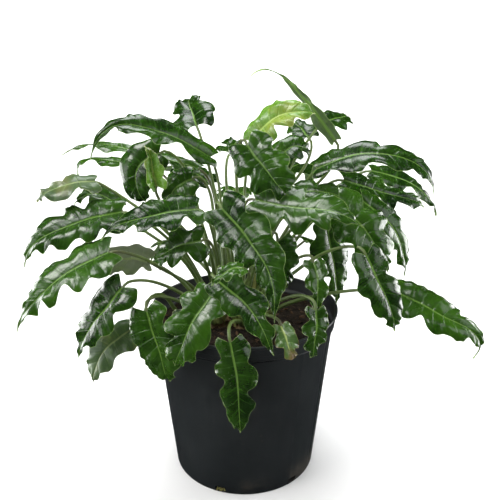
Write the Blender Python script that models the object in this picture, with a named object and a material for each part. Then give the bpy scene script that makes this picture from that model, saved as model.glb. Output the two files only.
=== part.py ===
"""A philodendron in a plain black nursery pot, in metres, +Z up, standing on z = 0.

The pot is turned from one profile. Soil fills it to a little below the rim, three short crowns stand on the
soil, and each leaf is one solid as it grew: a round stalk that rises from its crown and opens into a lobed
blade. Leaf places are given from the pot's axis and from the height of its rim, so the foliage follows
the pot.
"""

import math
from dataclasses import dataclass

import bmesh
import bpy
import numpy as np
from mathutils import Matrix, Vector
from mathutils.geometry import interpolate_bezier

# The pot
POT_HEIGHT = 0.235
RIM_RADIUS = 0.128
BASE_RADIUS = 0.0995
POT_WALL = 0.002
POT_FLOOR = 0.003
BASE_CORNER = 0.007
BAND_HEIGHT = 0.023
BAND_STEP = 0.003
BAND_TAPER = 0.002
LIP_HEIGHT = 0.004
LIP_OUT = 0.0015
DRAIN_HOLES = 6
DRAIN_TURN = 11.0
DRAIN_WIDTH = 0.014
DRAIN_HEIGHT = 0.006
POT_SIDES = 48

# The soil and the crowns
FIT_GAP = 0.0003
SOIL_DROP = 0.024
SOIL_CROWN = 0.003
SOIL_FLAT = 0.55
CLUMP_CENTRE = (-0.015, 0.0)
CROWN_AZIMUTHS = {"crown_left": 200.0, "crown_right": 320.0, "crown_back": 80.0}
CROWN_RADIUS = 0.019
CROWN_OFFSET = 0.023
CROWN_HEIGHT = 0.008
CROWN_EDGE = 0.003

# The leaves
FOLIAGE_RISE = 0.305
DRAWN_RISE = 0.305
DRAWN_RIM = 0.128
BLADE_THICKNESS = 0.0011
STALK_FOOT_RADIUS = 0.0022
STALK_NECK_RADIUS = 0.0014
STALK_GAP = 0.0009
STALK_RINGS = 6
# A stalk bends this share of the way out and of the way up to its blade, and at least this far above
# its foot.
BEND_OUT = 0.32
BEND_UP = 0.55
BEND_LEAST = 0.0045
# A blade this many times further out than it is high has its stalk at the crown's outer edge.
FULL_LEAN = 1.4
LEAST_RISE = 0.001
# A foot turns this share of the way to its blade, and stands this share of the crown's radius inside
# the crown's middle, or further out by FOOT_SPREAD at a full lean.
FOOT_TURN = 0.75
FOOT_INNER = 0.9
FOOT_SPREAD = 1.6
FOOT_PASSES = 300
FOOT_PUSH = 0.55
NECK_LENGTH = 0.012
NECK_DROP = 0.006
MIDRIB_HALF_WIDTH = 0.0022
LOBE_DEPTH = 0.24
OUTLINE_BASE = 0.62
OUTLINE_GROWTH = 1.9
RIB_LEAST = 0.05
# Degrees from the way to the tip: at the tip, and added at the stalk.
RIB_ANGLE_TIP = 40.0
RIB_ANGLE_BACK = 105.0
RIB_ANGLE_POWER = 2.2


@dataclass(frozen=True)
class Leaf:
    """One leaf. route runs along the midrib from the stalk to the tip, and via lists places that the stalk
    passes, each as (x, y, height above the rim). face is where the glossy side looks at the stalk."""

    name: str
    route: tuple
    half_width: float
    face: tuple = (0.0, -0.4, 1.0)
    lobes: int = 5
    fold: float = 15.0
    twist: float = 0.0
    tone: str = "mature"
    via: tuple = ()
    tail: float = 0.95


LEAVES = (
    # The upper left side
    Leaf("leaf_upper_left_arch", ((-0.045, 0.02, 0.2), (-0.105, 0.005, 0.235), (-0.16, -0.01, 0.245),
         (-0.195, -0.025, 0.205)), 0.025, (0, -0.2, 1), 5, 25, -15),
    Leaf("leaf_left_high", ((-0.065, 0.075, 0.175), (-0.13, 0.09, 0.19), (-0.205, 0.095, 0.205),
         (-0.265, 0.095, 0.195)), 0.021, (0, -0.05, 1), 5, 10),
    Leaf("leaf_left_thin", ((-0.135, 0.115, 0.17), (-0.185, 0.125, 0.175), (-0.24, 0.125, 0.175),
         (-0.255, 0.12, 0.155)), 0.018, (0, 0.1, 1), 4, 10),
    Leaf("leaf_left_mid_short", ((-0.165, 0.015, 0.135), (-0.195, 0.005, 0.155), (-0.225, -0.005, 0.145)),
         0.017, (0, -0.3, 1), 4),
    Leaf("leaf_left_mid_long", ((-0.19, -0.01, 0.175), (-0.22, -0.025, 0.175), (-0.265, -0.03, 0.155)),
         0.018, (0, -0.5, 1), 4, 10, 20, "aged"),
    Leaf("leaf_top_back_star", ((-0.065, 0.07, 0.235), (-0.075, 0.1, 0.255), (-0.08, 0.13, 0.27)),
         0.028, (0, -1, 0.4), 4, 20),
    Leaf("leaf_young_left", ((-0.115, 0.01, 0.165), (-0.12, 0.01, 0.195), (-0.125, 0.01, 0.22)),
         0.012, (0.6, -1, 0), 3, 55, 0, "young"),
    Leaf("leaf_left_dark_fan", ((-0.115, 0.05, 0.2), (-0.145, 0.045, 0.18), (-0.135, 0.04, 0.13)),
         0.023, (-0.5, -1, 0.3), 4),
    Leaf("leaf_left_hidden", ((-0.07, 0.025, 0.17), (-0.09, 0.02, 0.16), (-0.1, 0.015, 0.135)),
         0.017, (0, -1, 0.5), 4),
    # The lower left side
    Leaf("leaf_left_long", ((-0.155, -0.03, 0.14), (-0.21, -0.045, 0.13), (-0.255, -0.055, 0.11),
         (-0.28, -0.06, 0.075)), 0.028, (0, -0.55, 1), 6, 15, -10),
    Leaf("leaf_left_low_bright", ((-0.165, -0.07, 0.1), (-0.22, -0.09, 0.075), (-0.25, -0.1, 0.05),
         (-0.28, -0.11, 0.01)), 0.029, (-0.2, -0.5, 1), 6, 15, -10),
    Leaf("leaf_left_low_dark", ((-0.148, -0.085, 0.06), (-0.165, -0.093, 0.04), (-0.185, -0.1, 0.015),
         (-0.21, -0.105, -0.03)), 0.025, (-0.6, -0.8, 0.4), 5, 10),
    Leaf("leaf_rim_left", ((-0.117, -0.096, 0.033), (-0.106, -0.106, -0.005), (-0.092, -0.112, -0.06)),
         0.026, (-0.5, -1, 0.3), 5, 20),
    Leaf("leaf_low_left_grey", ((-0.15, -0.05, -0.015), (-0.18, -0.07, -0.035), (-0.2, -0.08, -0.08)),
         0.020, (0.3, -0.3, 1), 4, 10, 0, "aged", ((-0.115, -0.035, 0.03),)),
    Leaf("leaf_left_under", ((-0.125, -0.03, 0.075), (-0.155, -0.035, 0.08), (-0.185, -0.04, 0.07)),
         0.020, (0, 1, 0.3), 4, 10, 0, "aged"),
    Leaf("leaf_centre_left_bright", ((-0.06, -0.035, 0.145), (-0.1, -0.055, 0.145), (-0.15, -0.07, 0.135),
         (-0.175, -0.08, 0.12)), 0.025, (0, -0.55, 1), 6),
    Leaf("leaf_under_centre_left", ((-0.055, -0.04, 0.105), (-0.085, -0.05, 0.1), (-0.12, -0.055, 0.08)),
         0.022, (0, -0.8, 0.5), 4, 10, 60),
    # The middle and the top
    Leaf("leaf_mid_back", ((-0.02, 0.08, 0.195), (-0.015, 0.105, 0.2), (-0.01, 0.13, 0.21)),
         0.020, (0, -1, 0.6), 3),
    Leaf("leaf_top_young", ((0.01, 0, 0.225), (0.04, -0.01, 0.255), (0.09, -0.02, 0.265)),
         0.026, (0, -0.5, 1), 5, 20, 0, "young"),
    Leaf("leaf_centre_dark", ((0.005, -0.036, 0.225), (0.025, -0.05, 0.2), (0.055, -0.062, 0.168)),
         0.027, (0, -1, 0.35), 5, 20),
    Leaf("leaf_back_right_curl", ((0.045, 0.04, 0.195), (0.07, 0.05, 0.21), (0.095, 0.06, 0.2)),
         0.02, (0, -0.6, 1), 4),
    Leaf("leaf_top_thin_arch", ((0.12, 0.04, 0.22), (0.08, 0.045, 0.27), (0.03, 0.05, 0.31),
         (0, 0.05, 0.295)), 0.021, (0, 1, 0.5), 4, 20, tail=2.0),
    Leaf("leaf_upper_right_back", ((0.11, 0.09, 0.235), (0.135, 0.115, 0.24), (0.155, 0.14, 0.24)),
         0.022, (0, -0.5, 1), 3),
    Leaf("leaf_back_small", ((0.09, 0.1, 0.215), (0.08, 0.12, 0.225), (0.07, 0.135, 0.235)),
         0.018, (0, -0.6, 1), 3),
    # The right side
    Leaf("leaf_right_arch", ((0.095, 0, 0.19), (0.15, -0.01, 0.21), (0.215, -0.02, 0.2),
         (0.245, -0.03, 0.16)), 0.022, (0, -0.35, 1), 5),
    Leaf("leaf_right_mid", ((0.135, 0.036, 0.166), (0.185, 0.042, 0.15), (0.255, 0.045, 0.13)),
         0.022, (0, -0.5, 1), 5),
    Leaf("leaf_right_thin", ((0.18, 0.08, 0.17), (0.24, 0.08, 0.15), (0.285, 0.08, 0.105)),
         0.019, (0, -0.35, 1), 4, 10),
    Leaf("leaf_behind_centre_right", ((0.073, -0.012, 0.162), (0.104, -0.016, 0.163), (0.135, -0.02, 0.15)),
         0.019, (0, -0.5, 1), 4, 10),
    Leaf("leaf_right_outer_drop", ((0.155, 0.01, 0.145), (0.2, 0, 0.105), (0.22, -0.01, 0.04)),
         0.022, (0.4, -0.6, 0.8), 5),
    Leaf("leaf_right_inner_drop", ((0.115, -0.055, 0.155), (0.15, -0.07, 0.125), (0.18, -0.08, 0.075)),
         0.027, (0.3, -0.8, 0.6), 5),
    Leaf("leaf_right_hanging", ((0.145, -0.095, 0.105), (0.165, -0.11, 0.065), (0.185, -0.12, 0.015)),
         0.018, (0.4, -0.8, 0.3), 5),
    Leaf("leaf_right_low_long", ((0.19, -0.06, 0.045), (0.24, -0.08, 0.025), (0.29, -0.095, -0.005),
         (0.29, -0.1, -0.035)), 0.024, (-0.1, -0.5, 1), 6),
    Leaf("leaf_right_shade", ((0.11, 0, 0.11), (0.12, -0.005, 0.06), (0.13, -0.01, 0)),
         0.02, (0.6, -1, 0.2), 5),
    # The front
    Leaf("leaf_centre_front_long", ((-0.025, -0.07, 0.155), (0.005, -0.09, 0.125), (0.03, -0.11, 0.09),
         (0.035, -0.13, 0.03)), 0.03, (-0.35, -1, 0.45), 6),
    Leaf("leaf_centre_right_big", ((0.015, -0.045, 0.16), (0.065, -0.065, 0.155), (0.11, -0.085, 0.155),
         (0.145, -0.095, 0.14)), 0.030, (0, -0.7, 0.8), 6, 10),
    Leaf("leaf_front_right_narrow", ((0.085, -0.08, 0.09), (0.09, -0.095, 0.065), (0.085, -0.1, 0.025)),
         0.015, (0.2, -1, 0.3), 4),
    Leaf("leaf_rim_right", ((0.085, -0.12, 0.045), (0.085, -0.13, 0.015), (0.08, -0.135, -0.015)),
         0.015, (0.4, -1, 0.2), 4),
    Leaf("leaf_inner_shade", ((0.042, -0.06, 0.11), (0.046, -0.066, 0.08), (0.048, -0.07, 0.045)),
         0.015, (0.2, -1, 0.4), 5),
    Leaf("leaf_front_twisted", ((-0.03, -0.1, 0.075), (0.005, -0.12, 0.05), (0.025, -0.135, 0.025),
         (0.035, -0.14, -0.01)), 0.023, (-0.4, -1, 0.5), 5),
    Leaf("leaf_front_hanging", ((-0.015, -0.133, 0.01), (-0.01, -0.138, -0.02), (-0.005, -0.14, -0.065),
         (-0.005, -0.135, -0.12)), 0.023, (0, -1, 0.15), 5),
    Leaf("leaf_front_small_arch", ((0, -0.118, 0.098), (-0.016, -0.13, 0.1), (-0.038, -0.14, 0.085)),
         0.010, (0, -0.4, 1), 3),
    Leaf("leaf_front_left_drop", ((-0.04, -0.1, 0.055), (-0.065, -0.12, 0.02), (-0.085, -0.125, -0.03)),
         0.025, (-0.3, -1, 0.4), 5),
    Leaf("leaf_front_right_brown", ((0.045, -0.12, 0.025), (0.052, -0.135, 0.01), (0.062, -0.14, -0.01)),
         0.012, (0.1, -0.8, 0.7), 3, 15, 0, "browned"),
    Leaf("leaf_soil_left", ((-0.07, -0.059, 0.008), (-0.083, -0.073, 0.008), (-0.088, -0.086, 0)),
         0.012, (-0.3, -0.8, 0.5), 3, 15, 0, "aged"),
    # The back
    Leaf("leaf_back_left_high", ((-0.05, 0.09, 0.15), (-0.1, 0.14, 0.165), (-0.14, 0.19, 0.14)),
         0.024, (0, 0.2, 1), 5),
    Leaf("leaf_back_left_low", ((-0.1, 0.1, 0.06), (-0.125, 0.145, 0.04), (-0.145, 0.185, -0.02)),
         0.024, (-0.2, 0.5, 1), 5),
    Leaf("leaf_back_long", ((-0.02, 0.13, 0.12), (-0.015, 0.185, 0.12), (-0.01, 0.24, 0.07)),
         0.026, (0, 0.3, 1), 6),
    Leaf("leaf_back_rim", ((-0.03, 0.13, 0.04), (-0.035, 0.155, 0.01), (-0.04, 0.165, -0.05)),
         0.022, (0, 1, 0.5), 5),
    Leaf("leaf_back_right_high", ((0.05, 0.09, 0.16), (0.085, 0.15, 0.165), (0.11, 0.205, 0.125)),
         0.024, (0.1, 0.3, 1), 5),
    Leaf("leaf_back_right_low", ((0.09, 0.1, 0.06), (0.12, 0.14, 0.04), (0.15, 0.175, -0.02)),
         0.024, (0.3, 0.5, 1), 5),
)

TONES = {
    "mature": (0.045, 0.12, 0.025, 0.3),
    "young": (0.23, 0.4, 0.06, 0.35),
    "aged": (0.13, 0.17, 0.09, 0.5),
    "browned": (0.16, 0.17, 0.06, 0.5),
}


def clear_scene():
    for obj in list(bpy.data.objects):
        bpy.data.objects.remove(obj, do_unlink=True)


def material(name, red, green, blue, roughness):
    made = bpy.data.materials.new(name)
    made.use_nodes = True
    shader = made.node_tree.nodes["Principled BSDF"]
    shader.inputs["Base Color"].default_value = (red, green, blue, 1.0)
    shader.inputs["Roughness"].default_value = roughness
    return made


def add_object(name, bm, finish, smooth_angle=40.0):
    """The bmesh as a named object with its normals facing out, round faces shaded smooth."""
    bmesh.ops.recalc_face_normals(bm, faces=bm.faces)
    if bm.calc_volume(signed=True) < 0:
        bmesh.ops.reverse_faces(bm, faces=bm.faces)
    mesh = bpy.data.meshes.new(name)
    bm.to_mesh(mesh)
    bm.free()
    mesh.shade_smooth()
    mesh.set_sharp_from_angle(angle=math.radians(smooth_angle))
    mesh.materials.append(finish)
    obj = bpy.data.objects.new(name, mesh)
    bpy.context.scene.collection.objects.link(obj)
    return obj


def turned(profile, sides, centre=(0.0, 0.0)):
    """A closed bmesh turned about the upright line through centre from (radius, height) points."""
    bm = bmesh.new()
    verts = [bm.verts.new((radius, 0.0, height)) for radius, height in profile]
    edges = [bm.edges.new(pair) for pair in zip(verts, verts[1:])]
    bmesh.ops.spin(bm, geom=verts + edges, cent=(0, 0, 0), axis=(0, 0, 1), angle=math.tau, steps=sides,
                   use_merge=True)
    bmesh.ops.remove_doubles(bm, verts=bm.verts, dist=1e-6)
    bmesh.ops.translate(bm, verts=bm.verts, vec=(centre[0], centre[1], 0))
    return bm


# The pot

def wall_top():
    """(radius, height) of the outside of the wall where the shoulder band starts."""
    return RIM_RADIUS - LIP_OUT - BAND_TAPER - BAND_STEP, POT_HEIGHT - BAND_HEIGHT


def outer_radius(height):
    """The outside radius of the tapered wall at a height below the band."""
    radius, top = wall_top()
    return BASE_RADIUS + (radius - BASE_RADIUS) * height / top


def corner_arc(radius, steps=4):
    """The rounded outer corner between the floor and the wall."""
    centre = radius - BASE_CORNER
    for step in range(steps + 1):
        turn = math.radians(90.0 * step / steps)
        yield centre + BASE_CORNER * math.sin(turn), BASE_CORNER * (1.0 - math.cos(turn))


def pot_profile():
    top_radius, top = wall_top()
    band_low = top_radius + BAND_STEP
    band_high = RIM_RADIUS - LIP_OUT
    inner_lip = band_high - POT_WALL
    step_height = BAND_STEP
    outside = [(0.0, 0.0), *corner_arc(outer_radius(BASE_CORNER))]
    outside += [(top_radius, top), (band_low, top + step_height), (band_high, POT_HEIGHT - LIP_HEIGHT)]
    outside += [(RIM_RADIUS, POT_HEIGHT - LIP_HEIGHT * 0.8), (RIM_RADIUS, POT_HEIGHT - LIP_HEIGHT * 0.3)]
    outside += [(RIM_RADIUS - LIP_OUT, POT_HEIGHT), (inner_lip + LIP_OUT * 0.5, POT_HEIGHT)]
    inside = [(inner_lip, POT_HEIGHT - LIP_HEIGHT * 0.4), (band_low - POT_WALL, top + step_height)]
    inside += [(inner_radius(top), top), (inner_radius(POT_FLOOR + BASE_CORNER), POT_FLOOR + BASE_CORNER)]
    inside += [(inner_radius(POT_FLOOR) - BASE_CORNER, POT_FLOOR), (0.0, POT_FLOOR)]
    return outside + inside


def inner_radius(height):
    """The inside radius of the tapered wall at a height below the band."""
    return outer_radius(height) - POT_WALL


def drain_cutter():
    """Boxes through the bottom corner, evenly spaced."""
    bm = bmesh.new()
    depth = BASE_CORNER + 3 * POT_WALL
    for index in range(DRAIN_HOLES):
        turn = Matrix.Rotation(math.tau * index / DRAIN_HOLES + math.radians(DRAIN_TURN), 4, "Z")
        place = Matrix.Translation((outer_radius(0) - depth * 0.35, 0, POT_FLOOR + DRAIN_HEIGHT * 0.5))
        size = Matrix.Diagonal((depth, DRAIN_WIDTH, DRAIN_HEIGHT, 1.0))
        bmesh.ops.create_cube(bm, size=1.0, matrix=turn @ place @ size)
    cutter = add_object("drain_cutter", bm, material("cutter", 0.8, 0.1, 0.1, 0.5))
    cutter.hide_render = True
    cutter.display_type = "WIRE"
    return cutter


def make_pot():
    finish = material("pot_plastic", 0.012, 0.013, 0.014, 0.4)
    pot = add_object("pot", turned(pot_profile(), POT_SIDES), finish)
    cut = pot.modifiers.new("drain_holes", "BOOLEAN")
    cut.operation = "DIFFERENCE"
    cut.solver = "EXACT"
    cut.object = drain_cutter()


# The soil and the crowns

def soil_top():
    """Height of the soil at the middle of the pot."""
    return POT_HEIGHT - SOIL_DROP


def make_soil():
    """The potting mix: it fills the pot, FIT_GAP clear of the plastic, and rises a little at the middle."""
    _, band = wall_top()
    edge = soil_top() - SOIL_CROWN
    low = POT_FLOOR + BASE_CORNER
    floor = POT_FLOOR + FIT_GAP
    profile = [(0.0, floor), (inner_radius(POT_FLOOR) - BASE_CORNER - FIT_GAP, floor)]
    profile += [(inner_radius(low) - 2 * FIT_GAP, low)]
    if edge > band:
        profile += [(inner_radius(band) - 2 * FIT_GAP, band)]
    profile += [(inner_radius(min(edge, band)) - 2 * FIT_GAP, edge)]
    profile += [(RIM_RADIUS * SOIL_FLAT, soil_top()), (0.0, soil_top())]
    add_object("soil", turned(profile, POT_SIDES), material("potting_mix", 0.03, 0.02, 0.013, 0.95))


def crown_centre(azimuth):
    turn = math.radians(azimuth)
    return (CLUMP_CENTRE[0] + CROWN_OFFSET * math.cos(turn), CLUMP_CENTRE[1] + CROWN_OFFSET * math.sin(turn))


def crown_top():
    """Height of the crowns' tops, where the stalks stand."""
    return soil_top() + FIT_GAP + CROWN_HEIGHT


def make_crowns():
    finish = material("crown_bark", 0.1, 0.085, 0.04, 0.8)
    low, high = soil_top() + FIT_GAP, crown_top()
    profile = [(0.0, low), (CROWN_RADIUS, low), (CROWN_RADIUS, high - CROWN_EDGE)]
    shoulder = CROWN_EDGE * 0.3
    profile += [(CROWN_RADIUS - shoulder, high - shoulder), (CROWN_RADIUS - CROWN_EDGE, high), (0.0, high)]
    for name, azimuth in CROWN_AZIMUTHS.items():
        add_object(name, turned(profile, 16, crown_centre(azimuth)), finish)


# The leaves

def reach():
    """How much wider the foliage spreads than drawn: it spreads with the rim that it hangs over."""
    return RIM_RADIUS / DRAWN_RIM


def placed(point):
    """A leaf's (x, y, height above the rim) as a place in the part's frame."""
    x, y, rise = point
    if rise > 0:
        rise *= FOLIAGE_RISE / DRAWN_RISE
    return Vector((x * reach(), y * reach(), POT_HEIGHT + rise))


def through(points, count):
    """count points, evenly spaced along one smooth curve through the given points."""
    chords = [q - p for p, q in zip(points, points[1:])]
    inner = [(a.normalized() + b.normalized()).normalized() for a, b in zip(chords, chords[1:])]
    if inner:
        first = (1.5 * chords[0].normalized() - 0.5 * inner[0]).normalized()
        last = (1.5 * chords[-1].normalized() - 0.5 * inner[-1]).normalized()
    else:
        first = last = chords[0].normalized()
    ways = [first, *inner, last]
    fine = []
    for index, chord in enumerate(chords):
        third = chord.length / 3
        start, end = points[index], points[index + 1]
        fine += interpolate_bezier(start, start + ways[index] * third, end - ways[index + 1] * third, end, 24)
    line = np.array(fine)
    along = np.concatenate([[0.0], np.cumsum(np.linalg.norm(np.diff(line, axis=0), axis=1))])
    wanted = np.linspace(0.0, along[-1], count)
    return [Vector([float(np.interp(at, along, line[:, axis])) for axis in range(3)]) for at in wanted]


def directions(path):
    """The unit direction of travel at each point of a path."""
    ends = [path[0], *path, path[-1]]
    return [(b - a).normalized() for a, b in zip(ends, ends[2:])]


def carried(up, ways):
    """up at each point of a path, turned as little as the bends allow."""
    found = []
    for way in ways:
        up = (up - way * up.dot(way)).normalized()
        found.append(up)
    return found


def rib_length(share, leaf, phase):
    """A side rib's length as a share of the half width, share of the way from stalk to tip."""
    outline = (OUTLINE_BASE + OUTLINE_GROWTH * share) * (1.0 - share) ** leaf.tail
    outline /= math.sin(rib_angle(share))
    sinus = 0.5 - 0.5 * math.cos(math.tau * (leaf.lobes * share + phase))
    return max(outline * (1.0 - LOBE_DEPTH * sinus * min(1.0, 6 * share)), RIB_LEAST)


def rib_angle(share):
    """How far a side rib turns from the way to the tip: back at the stalk, ahead near the tip."""
    return math.radians(RIB_ANGLE_TIP + RIB_ANGLE_BACK * (1.0 - share) ** RIB_ANGLE_POWER)


def blade_rows(leaf):
    """Rows of the blade from stalk to tip, each with five points from one margin to the other."""
    count = 2 * min(leaf.lobes, 5)
    path = through([placed(point) for point in leaf.route], count)
    ways = directions(path)
    ups = carried(Vector(leaf.face).normalized(), ways)
    rows = []
    for index, (spot, way, up) in enumerate(zip(path, ways, ups)):
        share = index / (count - 1)
        up = Matrix.Rotation(math.radians(leaf.twist) * share, 3, way) @ up
        side = up.cross(way)
        angle = rib_angle(share)
        row = []
        for hand in (-1, 1):
            length = leaf.half_width * reach() * rib_length(share, leaf, 0.25 + 0.25 * hand)
            rib = way * math.cos(angle) + side * hand * math.sin(angle)
            rib = rib + up * math.tan(math.radians(leaf.fold)) * (1.0 - 0.5 * share)
            core = min(MIDRIB_HALF_WIDTH, 0.4 * length)
            row.append((spot + rib * length, spot + rib * core))
        rows.append((row[0][0], row[0][1], spot, row[1][1], row[1][0]))
    return rows, ways[0], ups[0]


def stalk_feet():
    """Where each leaf's stalk stands on the crowns: towards its blade, further out the more it leans, and
    pushed apart until no two touch."""
    homes, feet = [], []
    for leaf in LEAVES:
        neck = placed(leaf.route[0])
        out = Vector((neck.x - CLUMP_CENTRE[0], neck.y - CLUMP_CENTRE[1]))
        azimuth = math.degrees(math.atan2(out.y, out.x))
        turns = {name: (azimuth - middle + 180) % 360 - 180 for name, middle in CROWN_AZIMUTHS.items()}
        home = min(turns, key=lambda name: abs(turns[name]))
        lean = min(1.0, out.length / max(neck.z - crown_top(), LEAST_RISE) / FULL_LEAN)
        turn = math.radians(CROWN_AZIMUTHS[home] + turns[home] * FOOT_TURN)
        away = CROWN_OFFSET + CROWN_RADIUS * (FOOT_SPREAD * lean - FOOT_INNER)
        homes.append(Vector(crown_centre(CROWN_AZIMUTHS[home])))
        feet.append(Vector(CLUMP_CENTRE) + away * Vector((math.cos(turn), math.sin(turn))))
    apart = 2 * STALK_FOOT_RADIUS + STALK_GAP
    room = CROWN_RADIUS - CROWN_EDGE
    for _ in range(FOOT_PASSES):
        for i, first in enumerate(feet):
            for second in feet[i + 1:]:
                between = second - first
                short = apart - between.length
                if short > 0:
                    push = between.normalized() * short * FOOT_PUSH
                    first -= push
                    second += push
        for foot, home in zip(feet, homes):
            off = foot - home
            if off.length > room:
                foot -= off * (1 - room / off.length)
    return feet


def stalk_path(leaf, foot, way, up):
    """Points down the stalk, from just behind the blade to its foot on the crown."""
    base = placed(leaf.route[0])
    neck = base - way * NECK_LENGTH - up * NECK_DROP
    stand = Vector((foot.x, foot.y, crown_top() + FIT_GAP))
    above = [placed(point) for point in reversed(leaf.via)]
    rise = neck - stand
    bend = stand + Vector((rise.x * BEND_OUT, rise.y * BEND_OUT, max(rise.z * BEND_UP, BEND_LEAST)))
    stops = [base, neck, *above, bend, stand]
    return through(stops, STALK_RINGS + 1)[1:]


def ring_corners():
    """The stalk's six corners as (row place across the midrib, which side, angle)."""
    angles = {(-1, 0): 150, (0, 0): 90, (1, 0): 30, (-1, 1): -150, (0, 1): -90, (1, 1): -30}
    return {corner: math.radians(angle) for corner, angle in angles.items()}


def make_leaf(leaf, foot, finish):
    rows, way, up = blade_rows(leaf)
    bm = bmesh.new()
    row_tag = bm.verts.layers.int.new("row")
    place_tag = bm.verts.layers.int.new("place")
    side_tag = bm.verts.layers.int.new("side")
    across = len(rows[0])
    bmesh.ops.create_grid(bm, x_segments=len(rows) - 1, y_segments=across - 1, size=0.5)
    for vert in bm.verts:
        vert[row_tag] = round((vert.co.x + 0.5) * (len(rows) - 1))
        vert[place_tag] = round((vert.co.y + 0.5) * (across - 1)) - across // 2
    for vert in bm.verts:
        vert.co = rows[vert[row_tag]][vert[place_tag] + across // 2]
    bm.normal_update()
    top = {vert: vert.normal.copy() for vert in bm.verts}
    for vert, normal in top.items():
        vert.co += normal * BLADE_THICKNESS / 2
    lower = bmesh.ops.extrude_face_region(bm, geom=bm.faces[:])["geom"]
    normals = {(vert[row_tag], vert[place_tag]): normal for vert, normal in top.items()}
    for vert in (item for item in lower if isinstance(item, bmesh.types.BMVert)):
        vert.co -= normals[vert[row_tag], vert[place_tag]] * BLADE_THICKNESS
        vert[side_tag] = 1
    end = [face for face in bm.faces
           if all(vert[row_tag] == 0 and abs(vert[place_tag]) <= 1 for vert in face.verts)]
    corners = ring_corners()
    path = stalk_path(leaf, foot, way, up)
    turns = directions([placed(leaf.route[0]), *path])[1:]
    ups = carried(up, turns)
    for index, (spot, turn, ring_up) in enumerate(zip(path, turns, ups)):
        share = index / (len(path) - 1)
        radius = STALK_NECK_RADIUS + (STALK_FOOT_RADIUS - STALK_NECK_RADIUS) * share
        if index == len(path) - 1:
            turn = Vector((0, 0, -1))
            ring_up = carried(ring_up, [turn])[0]
        side = turn.cross(ring_up)
        made = bmesh.ops.extrude_face_region(bm, geom=end)["geom"]
        bmesh.ops.delete(bm, geom=end, context="FACES")
        end = [item for item in made if isinstance(item, bmesh.types.BMFace)]
        for vert in (item for item in made if isinstance(item, bmesh.types.BMVert)):
            angle = corners[vert[place_tag], vert[side_tag]]
            vert.co = spot + side * radius * math.cos(angle) + ring_up * radius * math.sin(angle)
    add_object(leaf.name, bm, finish, 60.0)


def make_leaves():
    finishes = {tone: material("leaf_" + tone, *values) for tone, values in TONES.items()}
    for leaf, foot in zip(LEAVES, stalk_feet()):
        make_leaf(leaf, foot, finishes[leaf.tone])


def main():
    clear_scene()
    make_pot()
    make_soil()
    make_crowns()
    make_leaves()


main()
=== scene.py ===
"""A philodendron in its nursery pot, at full detail.

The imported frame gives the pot, the potting mix, the three crowns and one node for each leaf. Each is
replaced here by a finely modelled piece: lobed, ribbed blades on grooved stalks, papery sheaths at the
crowns, crumbly mix with bark on it, and a moulded pot.
"""

import logging
import math
import random
from abc import ABC, abstractmethod
from dataclasses import dataclass
from enum import Enum, IntEnum
from typing import Callable, Iterable, Iterator, Optional, Sequence, Union

import bmesh
import bpy
import numpy as np
from mathutils import Euler, Matrix, Vector, noise
from mathutils.geometry import interpolate_bezier


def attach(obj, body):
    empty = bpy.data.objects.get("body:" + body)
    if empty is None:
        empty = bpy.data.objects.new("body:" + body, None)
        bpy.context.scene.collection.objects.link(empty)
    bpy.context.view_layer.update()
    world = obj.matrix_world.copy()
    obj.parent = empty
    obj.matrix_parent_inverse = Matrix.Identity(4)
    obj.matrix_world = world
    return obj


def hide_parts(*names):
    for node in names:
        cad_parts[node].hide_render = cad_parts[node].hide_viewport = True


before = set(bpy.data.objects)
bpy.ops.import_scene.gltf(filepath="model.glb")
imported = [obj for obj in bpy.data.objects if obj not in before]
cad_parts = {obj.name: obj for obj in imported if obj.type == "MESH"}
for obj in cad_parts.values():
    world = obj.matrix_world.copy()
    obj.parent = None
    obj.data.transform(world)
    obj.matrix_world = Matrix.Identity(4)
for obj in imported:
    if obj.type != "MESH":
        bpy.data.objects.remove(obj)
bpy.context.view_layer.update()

logging.basicConfig(level=logging.INFO, format="%(name)s: %(message)s")
LOG = logging.getLogger("philodendron")

Point = tuple[float, float, float]
Colour = tuple[float, float, float]
BMesh = bmesh.types.BMesh
Layers = dict[str, bmesh.types.BMLayerItem]
Material = bpy.types.Material
Socket = bpy.types.NodeSocket
Value = Union[float, Colour, Socket]
MM = 0.001


class Tone(Enum):
    """The ages of leaf, which differ in colour and gloss."""

    MATURE = "mature"
    YOUNG = "young"
    AGED = "aged"
    BROWNED = "browned"


class Surface(IntEnum):
    """The material index of each part of a leaf."""

    TOP = 0
    UNDER = 1
    STALK = 2


# ---------------------------------------------------------------------------------------------------
# Sizes
# ---------------------------------------------------------------------------------------------------


@dataclass(frozen=True)
class PotSizes:
    """The nursery pot, in metres and degrees."""

    height: float = 0.235
    rim_radius: float = 0.128
    base_radius: float = 0.0995
    wall: float = 0.002
    floor: float = 0.003
    corner: float = 0.007
    band_height: float = 0.023
    band_step: float = 0.003
    band_taper: float = 0.002
    lip_height: float = 0.004
    lip_out: float = 0.0015
    groove: float = 0.0013
    drain_holes: int = 6
    drain_turn: float = 11.0
    drain_width: float = 0.014
    drain_height: float = 0.006
    channel_azimuths: tuple[float, ...] = (-26.0, 154.0)
    channel_width: float = 0.0026
    channel_depth: float = 0.0012
    seam_azimuths: tuple[float, ...] = (-52.0, 128.0)
    seam_width: float = 0.0016
    seam_depth: float = 0.0005

    @property
    def wall_top(self) -> tuple[float, float]:
        """(radius, height) of the outside of the wall under the shoulder band."""
        radius = self.rim_radius - self.lip_out - self.band_taper - self.band_step
        return radius, self.height - self.band_height

    def outer(self, height: float) -> float:
        """Outside radius of the tapered wall at a height below the band."""
        radius, top = self.wall_top
        return self.base_radius + (radius - self.base_radius) * height / top

    def inner(self, height: float) -> float:
        """Inside radius of the tapered wall at a height below the band."""
        return self.outer(height) - self.wall


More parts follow.
